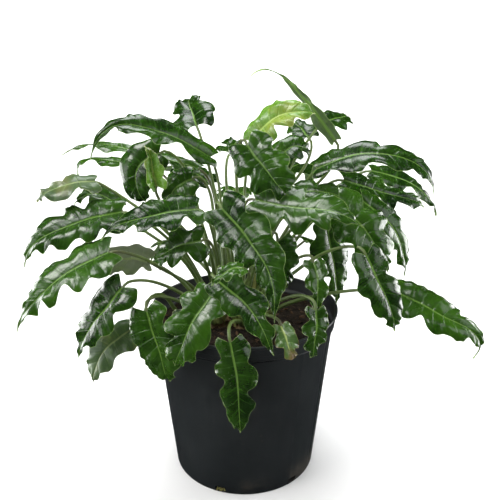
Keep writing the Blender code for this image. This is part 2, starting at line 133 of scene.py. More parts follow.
@dataclass(frozen=True)
class CrownSizes:
    """The three crowns that the stalks stand on, in metres and degrees."""

    clump: tuple[float, float] = (-0.015, 0.0)
    azimuths: tuple[tuple[str, float], ...] = (("crown_left", 200), ("crown_right", 320), ("crown_back", 80))
    offset: float = 0.023
    radius: float = 0.019
    height: float = 0.008
    edge: float = 0.003

    def centre(self, azimuth: float) -> Vector:
        """Where the crown at an azimuth about the clump stands."""
        turn = math.radians(azimuth)
        return Vector(self.clump) + self.offset * Vector((math.cos(turn), math.sin(turn)))


@dataclass(frozen=True)
class BladeSizes:
    """What all blades share, in metres, degrees and shares of the blade."""

    rows: int = 76
    core: tuple[float, ...] = (0.0, 0.0004, 0.0009, 0.0016)
    across: tuple[float, ...] = (0.13, 0.24, 0.35, 0.46, 0.57, 0.68, 0.78, 0.86, 0.925, 0.97, 1.0)
    thickness: float = 0.0005
    rib_thickness: float = 0.0016
    rib_spread: float = 0.0014
    rib_groove: float = 0.00035
    fullness: float = 1.52
    outline_base: float = 0.42
    outline_growth: float = 2.45
    tip_taper: float = 0.66
    least_reach: float = 0.012
    lobe_depth: float = 0.44
    lobe_kinds: int = 10
    sinus_power: float = 1.9
    lobe_skew: float = 0.07
    lobe_stray: float = 0.32
    nibble: float = 0.009
    rib_angle_tip: float = 40.0
    rib_angle_back: float = 92.0
    rib_forward: float = 0.16
    rib_sway: float = 0.0008
    ruffle: float = 0.0034
    fine_ruffle: float = 0.28
    quilt: float = 0.0005
    swell: float = 0.0032
    dimple: float = 0.0004
    lean: float = 0.22
    hook: float = 0.017
    hook_start: float = 0.8

    @property
    def reach(self) -> int:
        """How many places a row has from the midrib to one margin."""
        return len(self.core) + len(self.across) - 1


@dataclass(frozen=True)
class StalkSizes:
    """What all stalks share, in metres and shares of the stalk."""

    foot_radius: float = 0.003
    foot_flare: float = 0.75
    flare_length: float = 0.016
    neck_radius: float = 0.00185
    neck_length: float = 0.012
    neck_drop: float = 0.006
    rings: int = 30
    bumps: float = 0.035
    bend_out: float = 0.32
    bend_up: float = 0.55
    least_bend: float = 0.0045
    groove_depth: float = 0.3
    groove_length: float = 0.03
    foot_width: float = 0.0044
    foot_gap: float = 0.0009
    full_lean: float = 1.4
    foot_turn: float = 0.75
    foot_inner: float = 0.9
    foot_spread: float = 1.6
    passes: int = 300
    push: float = 0.55


POT = PotSizes()
CROWN = CrownSizes()
BLADE = BladeSizes()
STALK = StalkSizes()
SOIL_DROP = 0.024
SOIL_CROWN = 0.003
FIT_GAP = 0.0003
CROWN_TOP = POT.height - SOIL_DROP + FIT_GAP + CROWN.height


# ---------------------------------------------------------------------------------------------------
# Leaves
# ---------------------------------------------------------------------------------------------------


# Blades that are fuller or narrower than the others, as a share of their half width.
FULLNESS = {"leaf_inner_shade": 2.3, "leaf_right_shade": 2.0, "leaf_right_inner_drop": 1.75,
            "leaf_right_hanging": 1.9, "leaf_centre_dark": 1.5, "leaf_top_thin_arch": 0.85,
            "leaf_under_centre_left": 1.7, "leaf_left_under": 1.7, "leaf_behind_centre_right": 1.8,
            "leaf_low_left_grey": 1.7, "leaf_front_hanging": 1.35, "leaf_top_young": 1.15,
            "leaf_left_hidden": 1.7}


@dataclass(frozen=True)
class Leaf:
    """One leaf: its midrib's route from stalk to tip, and how the blade is held.

    Attributes:
        name: the leaf's node in the frame.
        route: points on the midrib, as (x, y, height above the rim).
        half_width: half the blade's plain width.
        face: the way that the upper side looks.
        lobes: how many lobes a margin has.
        fold: degrees that each half rises from the midrib.
        twist: degrees that the blade turns about its midrib by the tip.
        tone: the leaf's age.
        via: points that the stalk passes, as in route.
        tail: power of the taper to the tip.
    """

    name: str
    route: tuple[Point, ...]
    half_width: float
    face: Point
    lobes: int = 5
    fold: float = 15.0
    twist: float = 0.0
    tone: Tone = Tone.MATURE
    via: tuple[Point, ...] = ()
    tail: float = 0.95


LEAVES = (
    # The upper left side
    Leaf("leaf_upper_left_arch", ((-0.045, 0.02, 0.2), (-0.105, 0.005, 0.235), (-0.16, -0.01, 0.245),
         (-0.195, -0.025, 0.205)), 0.025, (0, -0.2, 1), 5, 25, -15),
    Leaf("leaf_left_high", ((-0.065, 0.075, 0.175), (-0.13, 0.09, 0.19), (-0.205, 0.095, 0.205),
         (-0.265, 0.095, 0.195)), 0.021, (0, -0.05, 1), 5, 10),
    Leaf("leaf_left_thin", ((-0.135, 0.115, 0.17), (-0.185, 0.125, 0.175), (-0.24, 0.125, 0.175),
         (-0.255, 0.12, 0.155)), 0.018, (0, 0.1, 1), 4, 10),
    Leaf("leaf_left_mid_short", ((-0.165, 0.015, 0.135), (-0.195, 0.005, 0.155), (-0.225, -0.005, 0.145)),
         0.017, (0, -0.3, 1), 4),
    Leaf("leaf_left_mid_long", ((-0.19, -0.01, 0.175), (-0.22, -0.025, 0.175), (-0.265, -0.03, 0.155)),
         0.018, (0, -0.5, 1), 4, 10, 20, Tone.AGED),
    Leaf("leaf_top_back_star", ((-0.065, 0.07, 0.235), (-0.075, 0.1, 0.255), (-0.08, 0.13, 0.27)),
         0.028, (0, -1, 0.4), 4, 20),
    Leaf("leaf_young_left", ((-0.115, 0.01, 0.165), (-0.12, 0.01, 0.195), (-0.125, 0.01, 0.22)),
         0.012, (0.6, -1, 0), 3, 55, 0, Tone.YOUNG),
    Leaf("leaf_left_dark_fan", ((-0.115, 0.05, 0.2), (-0.145, 0.045, 0.18), (-0.135, 0.04, 0.13)),
         0.023, (-0.5, -1, 0.3), 4),
    Leaf("leaf_left_hidden", ((-0.07, 0.025, 0.17), (-0.09, 0.02, 0.16), (-0.1, 0.015, 0.135)),
         0.017, (0, -1, 0.5), 4),
    # The lower left side
    Leaf("leaf_left_long", ((-0.155, -0.03, 0.14), (-0.21, -0.045, 0.13), (-0.255, -0.055, 0.11),
         (-0.28, -0.06, 0.075)), 0.028, (0, -0.55, 1), 6, 15, -10),
    Leaf("leaf_left_low_bright", ((-0.165, -0.07, 0.1), (-0.22, -0.09, 0.075), (-0.25, -0.1, 0.05),
         (-0.28, -0.11, 0.01)), 0.029, (-0.2, -0.5, 1), 6, 15, -10),
    Leaf("leaf_left_low_dark", ((-0.148, -0.085, 0.06), (-0.165, -0.093, 0.04), (-0.185, -0.1, 0.015),
         (-0.21, -0.105, -0.03)), 0.025, (-0.6, -0.8, 0.4), 5, 10),
    Leaf("leaf_rim_left", ((-0.117, -0.096, 0.033), (-0.106, -0.106, -0.005), (-0.092, -0.112, -0.06)),
         0.026, (-0.5, -1, 0.3), 5, 20),
    Leaf("leaf_low_left_grey", ((-0.15, -0.05, -0.015), (-0.18, -0.07, -0.035), (-0.2, -0.08, -0.08)),
         0.020, (0.3, -0.3, 1), 4, 10, 0, Tone.AGED, ((-0.115, -0.035, 0.03),)),
    Leaf("leaf_left_under", ((-0.125, -0.03, 0.075), (-0.155, -0.035, 0.08), (-0.185, -0.04, 0.07)),
         0.020, (0, 1, 0.3), 4, 10, 0, Tone.AGED),
    Leaf("leaf_centre_left_bright", ((-0.06, -0.035, 0.145), (-0.1, -0.055, 0.145), (-0.15, -0.07, 0.135),
         (-0.175, -0.08, 0.12)), 0.025, (0, -0.55, 1), 6),
    Leaf("leaf_under_centre_left", ((-0.055, -0.04, 0.105), (-0.085, -0.05, 0.1), (-0.12, -0.055, 0.08)),
         0.022, (0, -0.8, 0.5), 4, 10, 60),
    # The middle and the top
    Leaf("leaf_mid_back", ((-0.02, 0.08, 0.195), (-0.015, 0.105, 0.2), (-0.01, 0.13, 0.21)),
         0.020, (0, -1, 0.6), 3),
    Leaf("leaf_top_young", ((0.01, 0, 0.225), (0.04, -0.01, 0.255), (0.09, -0.02, 0.265)),
         0.026, (0, -0.5, 1), 5, 20, 0, Tone.YOUNG),
    Leaf("leaf_centre_dark", ((0.005, -0.036, 0.225), (0.025, -0.05, 0.2), (0.055, -0.062, 0.168)),
         0.027, (0, -1, 0.35), 5, 20),
    Leaf("leaf_back_right_curl", ((0.045, 0.04, 0.195), (0.07, 0.05, 0.21), (0.095, 0.06, 0.2)),
         0.02, (0, -0.6, 1), 4),
    Leaf("leaf_top_thin_arch", ((0.12, 0.04, 0.22), (0.08, 0.045, 0.27), (0.03, 0.05, 0.31),
         (0, 0.05, 0.295)), 0.021, (0, 1, 0.5), 4, 20, tail=2.0),
    Leaf("leaf_upper_right_back", ((0.11, 0.09, 0.235), (0.135, 0.115, 0.24), (0.155, 0.14, 0.24)),
         0.022, (0, -0.5, 1), 3),
    Leaf("leaf_back_small", ((0.09, 0.1, 0.215), (0.08, 0.12, 0.225), (0.07, 0.135, 0.235)),
         0.018, (0, -0.6, 1), 3),
    # The right side
    Leaf("leaf_right_arch", ((0.095, 0, 0.19), (0.15, -0.01, 0.21), (0.215, -0.02, 0.2),
         (0.245, -0.03, 0.16)), 0.022, (0, -0.35, 1), 5),
    Leaf("leaf_right_mid", ((0.135, 0.036, 0.166), (0.185, 0.042, 0.15), (0.255, 0.045, 0.13)),
         0.022, (0, -0.5, 1), 5),
    Leaf("leaf_right_thin", ((0.18, 0.08, 0.17), (0.24, 0.08, 0.15), (0.285, 0.08, 0.105)),
         0.019, (0, -0.35, 1), 4, 10),
    Leaf("leaf_behind_centre_right", ((0.073, -0.012, 0.162), (0.104, -0.016, 0.163), (0.135, -0.02, 0.15)),
         0.019, (0, -0.5, 1), 4, 10),
    Leaf("leaf_right_outer_drop", ((0.155, 0.01, 0.145), (0.2, 0, 0.105), (0.22, -0.01, 0.04)),
         0.022, (0.4, -0.6, 0.8), 5),
    Leaf("leaf_right_inner_drop", ((0.115, -0.055, 0.155), (0.15, -0.07, 0.125), (0.18, -0.08, 0.075)),
         0.027, (0.3, -0.8, 0.6), 5),
    Leaf("leaf_right_hanging", ((0.145, -0.095, 0.105), (0.165, -0.11, 0.065), (0.185, -0.12, 0.015)),
         0.018, (0.4, -0.8, 0.3), 5),
    Leaf("leaf_right_low_long", ((0.19, -0.06, 0.045), (0.24, -0.08, 0.025), (0.29, -0.095, -0.005),
         (0.29, -0.1, -0.035)), 0.024, (-0.1, -0.5, 1), 6),
    Leaf("leaf_right_shade", ((0.11, 0, 0.11), (0.12, -0.005, 0.06), (0.13, -0.01, 0)),
         0.02, (0.6, -1, 0.2), 5),
    # The front
    Leaf("leaf_centre_front_long", ((-0.025, -0.07, 0.155), (0.005, -0.09, 0.125), (0.03, -0.11, 0.09),
         (0.035, -0.13, 0.03)), 0.03, (-0.35, -1, 0.45), 6),
    Leaf("leaf_centre_right_big", ((0.015, -0.045, 0.16), (0.065, -0.065, 0.155), (0.11, -0.085, 0.155),
         (0.145, -0.095, 0.14)), 0.030, (0, -0.7, 0.8), 6, 10),
    Leaf("leaf_front_right_narrow", ((0.085, -0.08, 0.09), (0.09, -0.095, 0.065), (0.085, -0.1, 0.025)),
         0.015, (0.2, -1, 0.3), 4),
    Leaf("leaf_rim_right", ((0.085, -0.12, 0.045), (0.085, -0.13, 0.015), (0.08, -0.135, -0.015)),
         0.015, (0.4, -1, 0.2), 4),
    Leaf("leaf_inner_shade", ((0.042, -0.06, 0.11), (0.046, -0.066, 0.08), (0.048, -0.07, 0.045)),
         0.015, (0.2, -1, 0.4), 5),
    Leaf("leaf_front_twisted", ((-0.03, -0.1, 0.075), (0.005, -0.12, 0.05), (0.025, -0.135, 0.025),
         (0.035, -0.14, -0.01)), 0.023, (-0.4, -1, 0.5), 5),
    Leaf("leaf_front_hanging", ((-0.015, -0.133, 0.01), (-0.01, -0.138, -0.02), (-0.005, -0.14, -0.065),
         (-0.005, -0.135, -0.12)), 0.023, (0, -1, 0.15), 5),
    Leaf("leaf_front_small_arch", ((0, -0.118, 0.098), (-0.016, -0.13, 0.1), (-0.038, -0.14, 0.085)),
         0.010, (0, -0.4, 1), 3),
    Leaf("leaf_front_left_drop", ((-0.04, -0.1, 0.055), (-0.065, -0.12, 0.02), (-0.085, -0.125, -0.03)),
         0.025, (-0.3, -1, 0.4), 5),
    Leaf("leaf_front_right_brown", ((0.045, -0.12, 0.025), (0.052, -0.135, 0.01), (0.062, -0.14, -0.01)),
         0.012, (0.1, -0.8, 0.7), 3, 15, 0, Tone.BROWNED),
    Leaf("leaf_soil_left", ((-0.07, -0.059, 0.008), (-0.083, -0.073, 0.008), (-0.088, -0.086, 0)),
         0.012, (-0.3, -0.8, 0.5), 3, 15, 0, Tone.AGED),
    # The back
    Leaf("leaf_back_left_high", ((-0.05, 0.09, 0.15), (-0.1, 0.14, 0.165), (-0.14, 0.19, 0.14)),
         0.024, (0, 0.2, 1), 5),
    Leaf("leaf_back_left_low", ((-0.1, 0.1, 0.06), (-0.125, 0.145, 0.04), (-0.145, 0.185, -0.02)),
         0.024, (-0.2, 0.5, 1), 5),
    Leaf("leaf_back_long", ((-0.02, 0.13, 0.12), (-0.015, 0.185, 0.12), (-0.01, 0.24, 0.07)),
         0.026, (0, 0.3, 1), 6),
    Leaf("leaf_back_rim", ((-0.03, 0.13, 0.04), (-0.035, 0.155, 0.01), (-0.04, 0.165, -0.05)),
         0.022, (0, 1, 0.5), 5),
    Leaf("leaf_back_right_high", ((0.05, 0.09, 0.16), (0.085, 0.15, 0.165), (0.11, 0.205, 0.125)),
         0.024, (0.1, 0.3, 1), 5),
    Leaf("leaf_back_right_low", ((0.09, 0.1, 0.06), (0.12, 0.14, 0.04), (0.15, 0.175, -0.02)),
         0.024, (0.3, 0.5, 1), 5),
)


def placed(point: Sequence[float]) -> Vector:
    """A leaf's (x, y, height above the rim) as a place in the frame."""
    return Vector((point[0], point[1], POT.height + point[2]))


def through(points: Sequence[Vector], count: int) -> list[Vector]:
    """Evenly spaced points along one smooth curve.

    Args:
        points: what the curve runs through.
        count: how many points to return.

    Returns:
        The points, ends included.
    """
    chords = [q - p for p, q in zip(points, points[1:])]
    inner = [(a.normalized() + b.normalized()).normalized() for a, b in zip(chords, chords[1:])]
    if inner:
        first = (1.5 * chords[0].normalized() - 0.5 * inner[0]).normalized()
        last = (1.5 * chords[-1].normalized() - 0.5 * inner[-1]).normalized()
    else:
        first = last = chords[0].normalized()
    ways = [first, *inner, last]
    fine: list[Vector] = []
    for index, chord in enumerate(chords):
        third = chord.length / 3
        start, end = points[index], points[index + 1]
        fine += interpolate_bezier(start, start + ways[index] * third, end - ways[index + 1] * third, end, 40)
    line = np.array(fine)
    along = np.concatenate([[0.0], np.cumsum(np.linalg.norm(np.diff(line, axis=0), axis=1))])
    wanted = np.linspace(0.0, along[-1], count)
    return [Vector([float(np.interp(at, along, line[:, axis])) for axis in range(3)]) for at in wanted]


def directions(path: Sequence[Vector]) -> list[Vector]:
    """The unit direction of travel at each point of a path."""
    ends = [path[0], *path, path[-1]]
    return [(b - a).normalized() for a, b in zip(ends, ends[2:])]


def carried(up: Vector, ways: Sequence[Vector]) -> list[Vector]:
    """Carries a direction along a path, turned as little as the bends allow.

    Args:
        up: the direction at the start.
        ways: the path's direction at each point.

    Returns:
        The direction at each point, square to the path.
    """
    found = []
    for way in ways:
        up = (up - way * up.dot(way)).normalized()
        found.append(up)
    return found


def smooth_step(value: float, low: float, high: float) -> float:
    """0 below low, 1 above high, smooth between."""
    share = min(1.0, max(0.0, (value - low) / (high - low)))
    return share * share * (3.0 - 2.0 * share)


def hump(distance: float, width: float) -> float:
    """1 at no distance, fading as a bell of the width given."""
    return math.exp(-(distance / width) ** 2)


def turned_from(azimuth: float, middle: float) -> float:
    """Degrees from middle round to azimuth, the short way."""
    return (azimuth - middle + 180) % 360 - 180


def only(items: Iterable, kind: type) -> list:
    """The items of one kind, in their order."""
    return [item for item in items if isinstance(item, kind)]


def linked(name: str, data: bpy.types.ID) -> bpy.types.Object:
    """Makes an object and links it into the scene.

    Args:
        name: the object's name.
        data: its mesh, light or camera.

    Returns:
        The object.
    """
    obj = bpy.data.objects.new(name, data)
    bpy.context.scene.collection.objects.link(obj)
    return obj


def meshed(name: str, bm: BMesh) -> bpy.types.Mesh:
    """Turns a bmesh into a mesh.

    Args:
        name: the mesh's name.
        bm: what it holds; it is freed.

    Returns:
        The mesh.
    """
    mesh = bpy.data.meshes.new(name)
    bm.to_mesh(mesh)
    bm.free()
    return mesh


def stalk_feet(leaves: Sequence[Leaf]) -> list[Vector]:
    """Spreads the stalks' feet over the crowns, pushed apart until no two touch.

    Args:
        leaves: the leaves, in their order.

    Returns:
        Where each leaf's stalk stands, as (x, y).
    """
    homes, feet = [], []
    azimuths = dict(CROWN.azimuths)
    for leaf in leaves:
        neck = placed(leaf.route[0])
        out = Vector((neck.x - CROWN.clump[0], neck.y - CROWN.clump[1]))
        azimuth = math.degrees(math.atan2(out.y, out.x))
        turns = {name: turned_from(azimuth, middle) for name, middle in azimuths.items()}
        home = min(turns, key=lambda name: abs(turns[name]))
        lean = min(1.0, out.length / max(neck.z - CROWN_TOP, MM) / STALK.full_lean)
        turn = math.radians(azimuths[home] + turns[home] * STALK.foot_turn)
        away = CROWN.offset + CROWN.radius * (STALK.foot_spread * lean - STALK.foot_inner)
        homes.append(CROWN.centre(azimuths[home]))
        feet.append(Vector(CROWN.clump) + away * Vector((math.cos(turn), math.sin(turn))))
    apart = STALK.foot_width + STALK.foot_gap
    room = CROWN.radius - CROWN.edge
    for _ in range(STALK.passes):
        for index, first in enumerate(feet):
            for second in feet[index + 1:]:
                between = second - first
                short = apart - between.length
                if short > 0:
                    push = between.normalized() * short * STALK.push
                    first -= push
                    second += push
        for foot, home in zip(feet, homes):
            off = foot - home
            if off.length > room:
                foot -= off * (1 - room / off.length)
    return feet


class BladeShape:
    """The lobed, folded and ruffled surface of one leaf, as a function of row and place across."""

    def __init__(self, leaf: Leaf, seed: int) -> None:
        """Draws the leaf's chances and lays its midrib.

        Args:
            leaf: the leaf.
            seed: what its chances come from.
        """
        rng = random.Random(seed)
        kinds = range(BLADE.lobe_kinds)
        self.leaf = leaf
        self.seed = seed
        self.phases = {hand: 0.25 + 0.25 * hand + rng.uniform(-0.1, 0.1) for hand in (-1, 1)}
        self.ripple = {hand: rng.uniform(0.0, math.tau) for hand in (-1, 1)}
        self.depths = {hand: [rng.uniform(0.25, 1.25) for _ in kinds] for hand in (-1, 1)}
        self.lobes = max(3.0, leaf.lobes - 1 + rng.uniform(-0.3, 0.3))
        self.rolls = {hand: [rng.uniform(0.3, 1.3) for _ in kinds] for hand in (-1, 1)}
        self.droop = rng.uniform(0.75, 1.15)
        self.tail = leaf.tail + BLADE.tip_taper + rng.uniform(-0.2, 0.35)
        self.wiggle = rng.uniform(0.0, math.tau)
        self.full = leaf.half_width * FULLNESS.get(leaf.name, BLADE.fullness)
        self._lay_midrib()

    def _lay_midrib(self) -> None:
        """Sets the midrib's points, its directions and the way up at each, with a hooked, twisted tip."""
        path = through([placed(point) for point in self.leaf.route], BLADE.rows)
        ways = directions(path)
        face = (Vector(self.leaf.face).normalized() + Vector((0.0, -BLADE.lean, 0.0))).normalized()
        for index, up in enumerate(carried(face, ways)):
            late = smooth_step(index / (BLADE.rows - 1), BLADE.hook_start, 1.25)
            path[index] = path[index] - (up + 0.5 * ways[index]) * BLADE.hook * late
        ways = directions(path)
        ups = carried(face, ways)
        for index, (way, up) in enumerate(zip(ways, ups)):
            share = index / (BLADE.rows - 1)
            ups[index] = Matrix.Rotation(math.radians(self.leaf.twist) * share, 3, way) @ up
        self.path, self.ways, self.ups = path, ways, ups

    def rib_angle(self, share: float) -> float:
        """How far a side rib turns from the way to the tip."""
        return math.radians(BLADE.rib_angle_tip + BLADE.rib_angle_back * (1.0 - share) ** 2.2)

    def cycle(self, share: float, hand: int) -> float:
        """Counts lobes from the stalk.

        Args:
            share: how far along the blade.
            hand: which half of the blade, -1 or 1.

        Returns:
            A count that is whole at each lobe's middle and a half more in each sinus.
        """
        stray = BLADE.lobe_stray * noise.noise(Vector((share * 3.5, hand * 2.0, self.seed * 5.7)))
        raw = self.lobes * share * (1.2 - 0.2 * share) + self.phases[hand] + stray
        return raw + BLADE.lobe_skew * math.sin(math.tau * raw) / math.tau * 2.0

    def length(self, share: float, hand: int) -> float:
        """Length of the side rib that starts at share, out to the lobed margin.

        Args:
            share: how far along the blade.
            hand: which half of the blade, -1 or 1.

        Returns:
            The length in metres.
        """
        widening = BLADE.outline_base + BLADE.outline_growth * share ** 0.8
        outline = widening * (1.0 - share) ** self.tail / math.sin(self.rib_angle(share))
        count = self.cycle(share, hand)
        sinus = (0.5 - 0.5 * math.cos(math.tau * count)) ** BLADE.sinus_power
        depth = BLADE.lobe_depth * self.depths[hand][int(count) % BLADE.lobe_kinds]
        fade = min(1.0, 6.0 * share) * smooth_step(1.0 - share, 0.1, 0.42)
        nibble = BLADE.nibble * math.sin(3.3 * math.tau * count + self.ripple[hand])
        return self.full * max(outline * (1.0 - (depth * sinus + nibble) * fade), BLADE.least_reach)

    def lift(self, share: float, gap: float, length: float, hand: int) -> float:
        """Height of the surface above the plane of the midrib.

        Args:
            share: how far along the blade, from stalk to tip.
            gap: distance from the midrib along the side rib.
            length: the whole side rib's length.
            hand: which half of the blade, -1 or 1.

        Returns:
            The height in metres.
        """
        t = min(1.0, gap / length)
        count = self.cycle(share, hand)
        slope = math.tan(math.radians(self.leaf.fold)) * (1.0 - 0.5 * share)
        fold = length * (slope * (1.75 * t - 0.75 * t * t) - 0.3 * self.droop * t ** 3)
        ends = smooth_step(share, 0.0, 0.12) * smooth_step(1.0 - share, 0.0, 0.25)
        roll = self.rolls[hand][int(count + 0.5) % BLADE.lobe_kinds]
        edge = -math.cos(math.tau * count) * roll * t ** 2.4
        fine = BLADE.fine_ruffle * math.sin(math.tau * 2.6 * count + self.ripple[hand]) * t ** 4
        ruffle = BLADE.ruffle * (edge + fine) * ends
        swell = noise.noise(Vector((share * 5.0, hand * (1.0 + 1.6 * t), self.seed * 3.1)))
        dimple = noise.noise(Vector((share * 15.0, hand * (1.0 + 4.5 * t), self.seed * 1.3)))
        pucker = -math.cos(math.tau * (count + 0.1 * swell)) * (4.0 * t * (1.0 - t)) ** 0.8
        quilt = BLADE.quilt * pucker * roll + BLADE.swell * swell * t + BLADE.dimple * dimple * t
        groove = -BLADE.rib_groove * (1.0 - smooth_step(gap, 0.0003, 0.0017)) * (1.0 - share)
        return fold + ruffle + quilt + groove

    def spot(self, row: int, place: int) -> tuple[Vector, dict[str, float]]:
        """One point of the upper surface.

        Args:
            row: which row, from stalk to tip.
            place: which place across, 0 on the midrib, negative to one side of it.

        Returns:
            The point, and what the materials need to know about it.
        """
        share = row / (BLADE.rows - 1)
        hand = 1 if place >= 0 else -1
        way, up = self.ways[row], self.ups[row]
        side = up.cross(way)
        length = self.length(share, hand)
        index = abs(place)
        inner = len(BLADE.core)
        if index < inner:
            gap = min(BLADE.core[index], 0.5 * length * index / inner)
        else:
            start = min(BLADE.core[-1], 0.5 * length * (inner - 1) / inner)
            gap = start + (length - start) * BLADE.across[index - inner]
        t = gap / length
        angle = self.rib_angle(share)
        rib = way * (math.cos(angle) * gap + BLADE.rib_forward * t * gap)
        rib = rib + side * hand * math.sin(angle) * gap
        sway = BLADE.rib_sway * math.sin(9.0 * share + self.wiggle) * smooth_step(share, 0.05, 0.3)
        flat = self.path[row] + rib + side * sway
        found = flat + up * self.lift(share, gap, length, hand)
        facts = {"share": share, "rib_gap": gap / MM, "rim_gap": (length - gap) / MM, "t": t * hand,
                 "count": 2.0 * self.cycle(share, hand), "stalk": 0.0}
        return found, facts


@dataclass(kw_only=True)
class Piece(ABC):
    """A finished mesh that stands for one node of the frame.

    Attributes:
        materials: in the order of the faces' material indices.
        name: the piece's own name.
        node: the node of the frame that it replaces.
        slot: the name of its material slot; not used.
        sharp_angle: faces that meet at more than this many degrees keep a crisp edge.
    """

    materials: Sequence[Material]
    name: str = ""
    node: str = ""
    slot: str = ""
    sharp_angle: float = 50.0

    @abstractmethod
    def shape(self) -> BMesh:
        """The closed mesh, normals outward, in the frame's metres."""

    def build(self) -> bpy.types.Object:
        """Makes the object, hangs it on the root body and hides the frame's node that it replaces.

        Returns:
            The finished object.
        """
        mesh = meshed(self.name, self.shape())
        mesh.shade_smooth()
        mesh.set_sharp_from_angle(angle=math.radians(self.sharp_angle))
        for material in self.materials:
            mesh.materials.append(material)
        obj = linked(self.name, mesh)
        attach(obj, "root")
        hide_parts(self.node)
        LOG.info("%s: %d faces", self.name, len(mesh.polygons))
        return obj


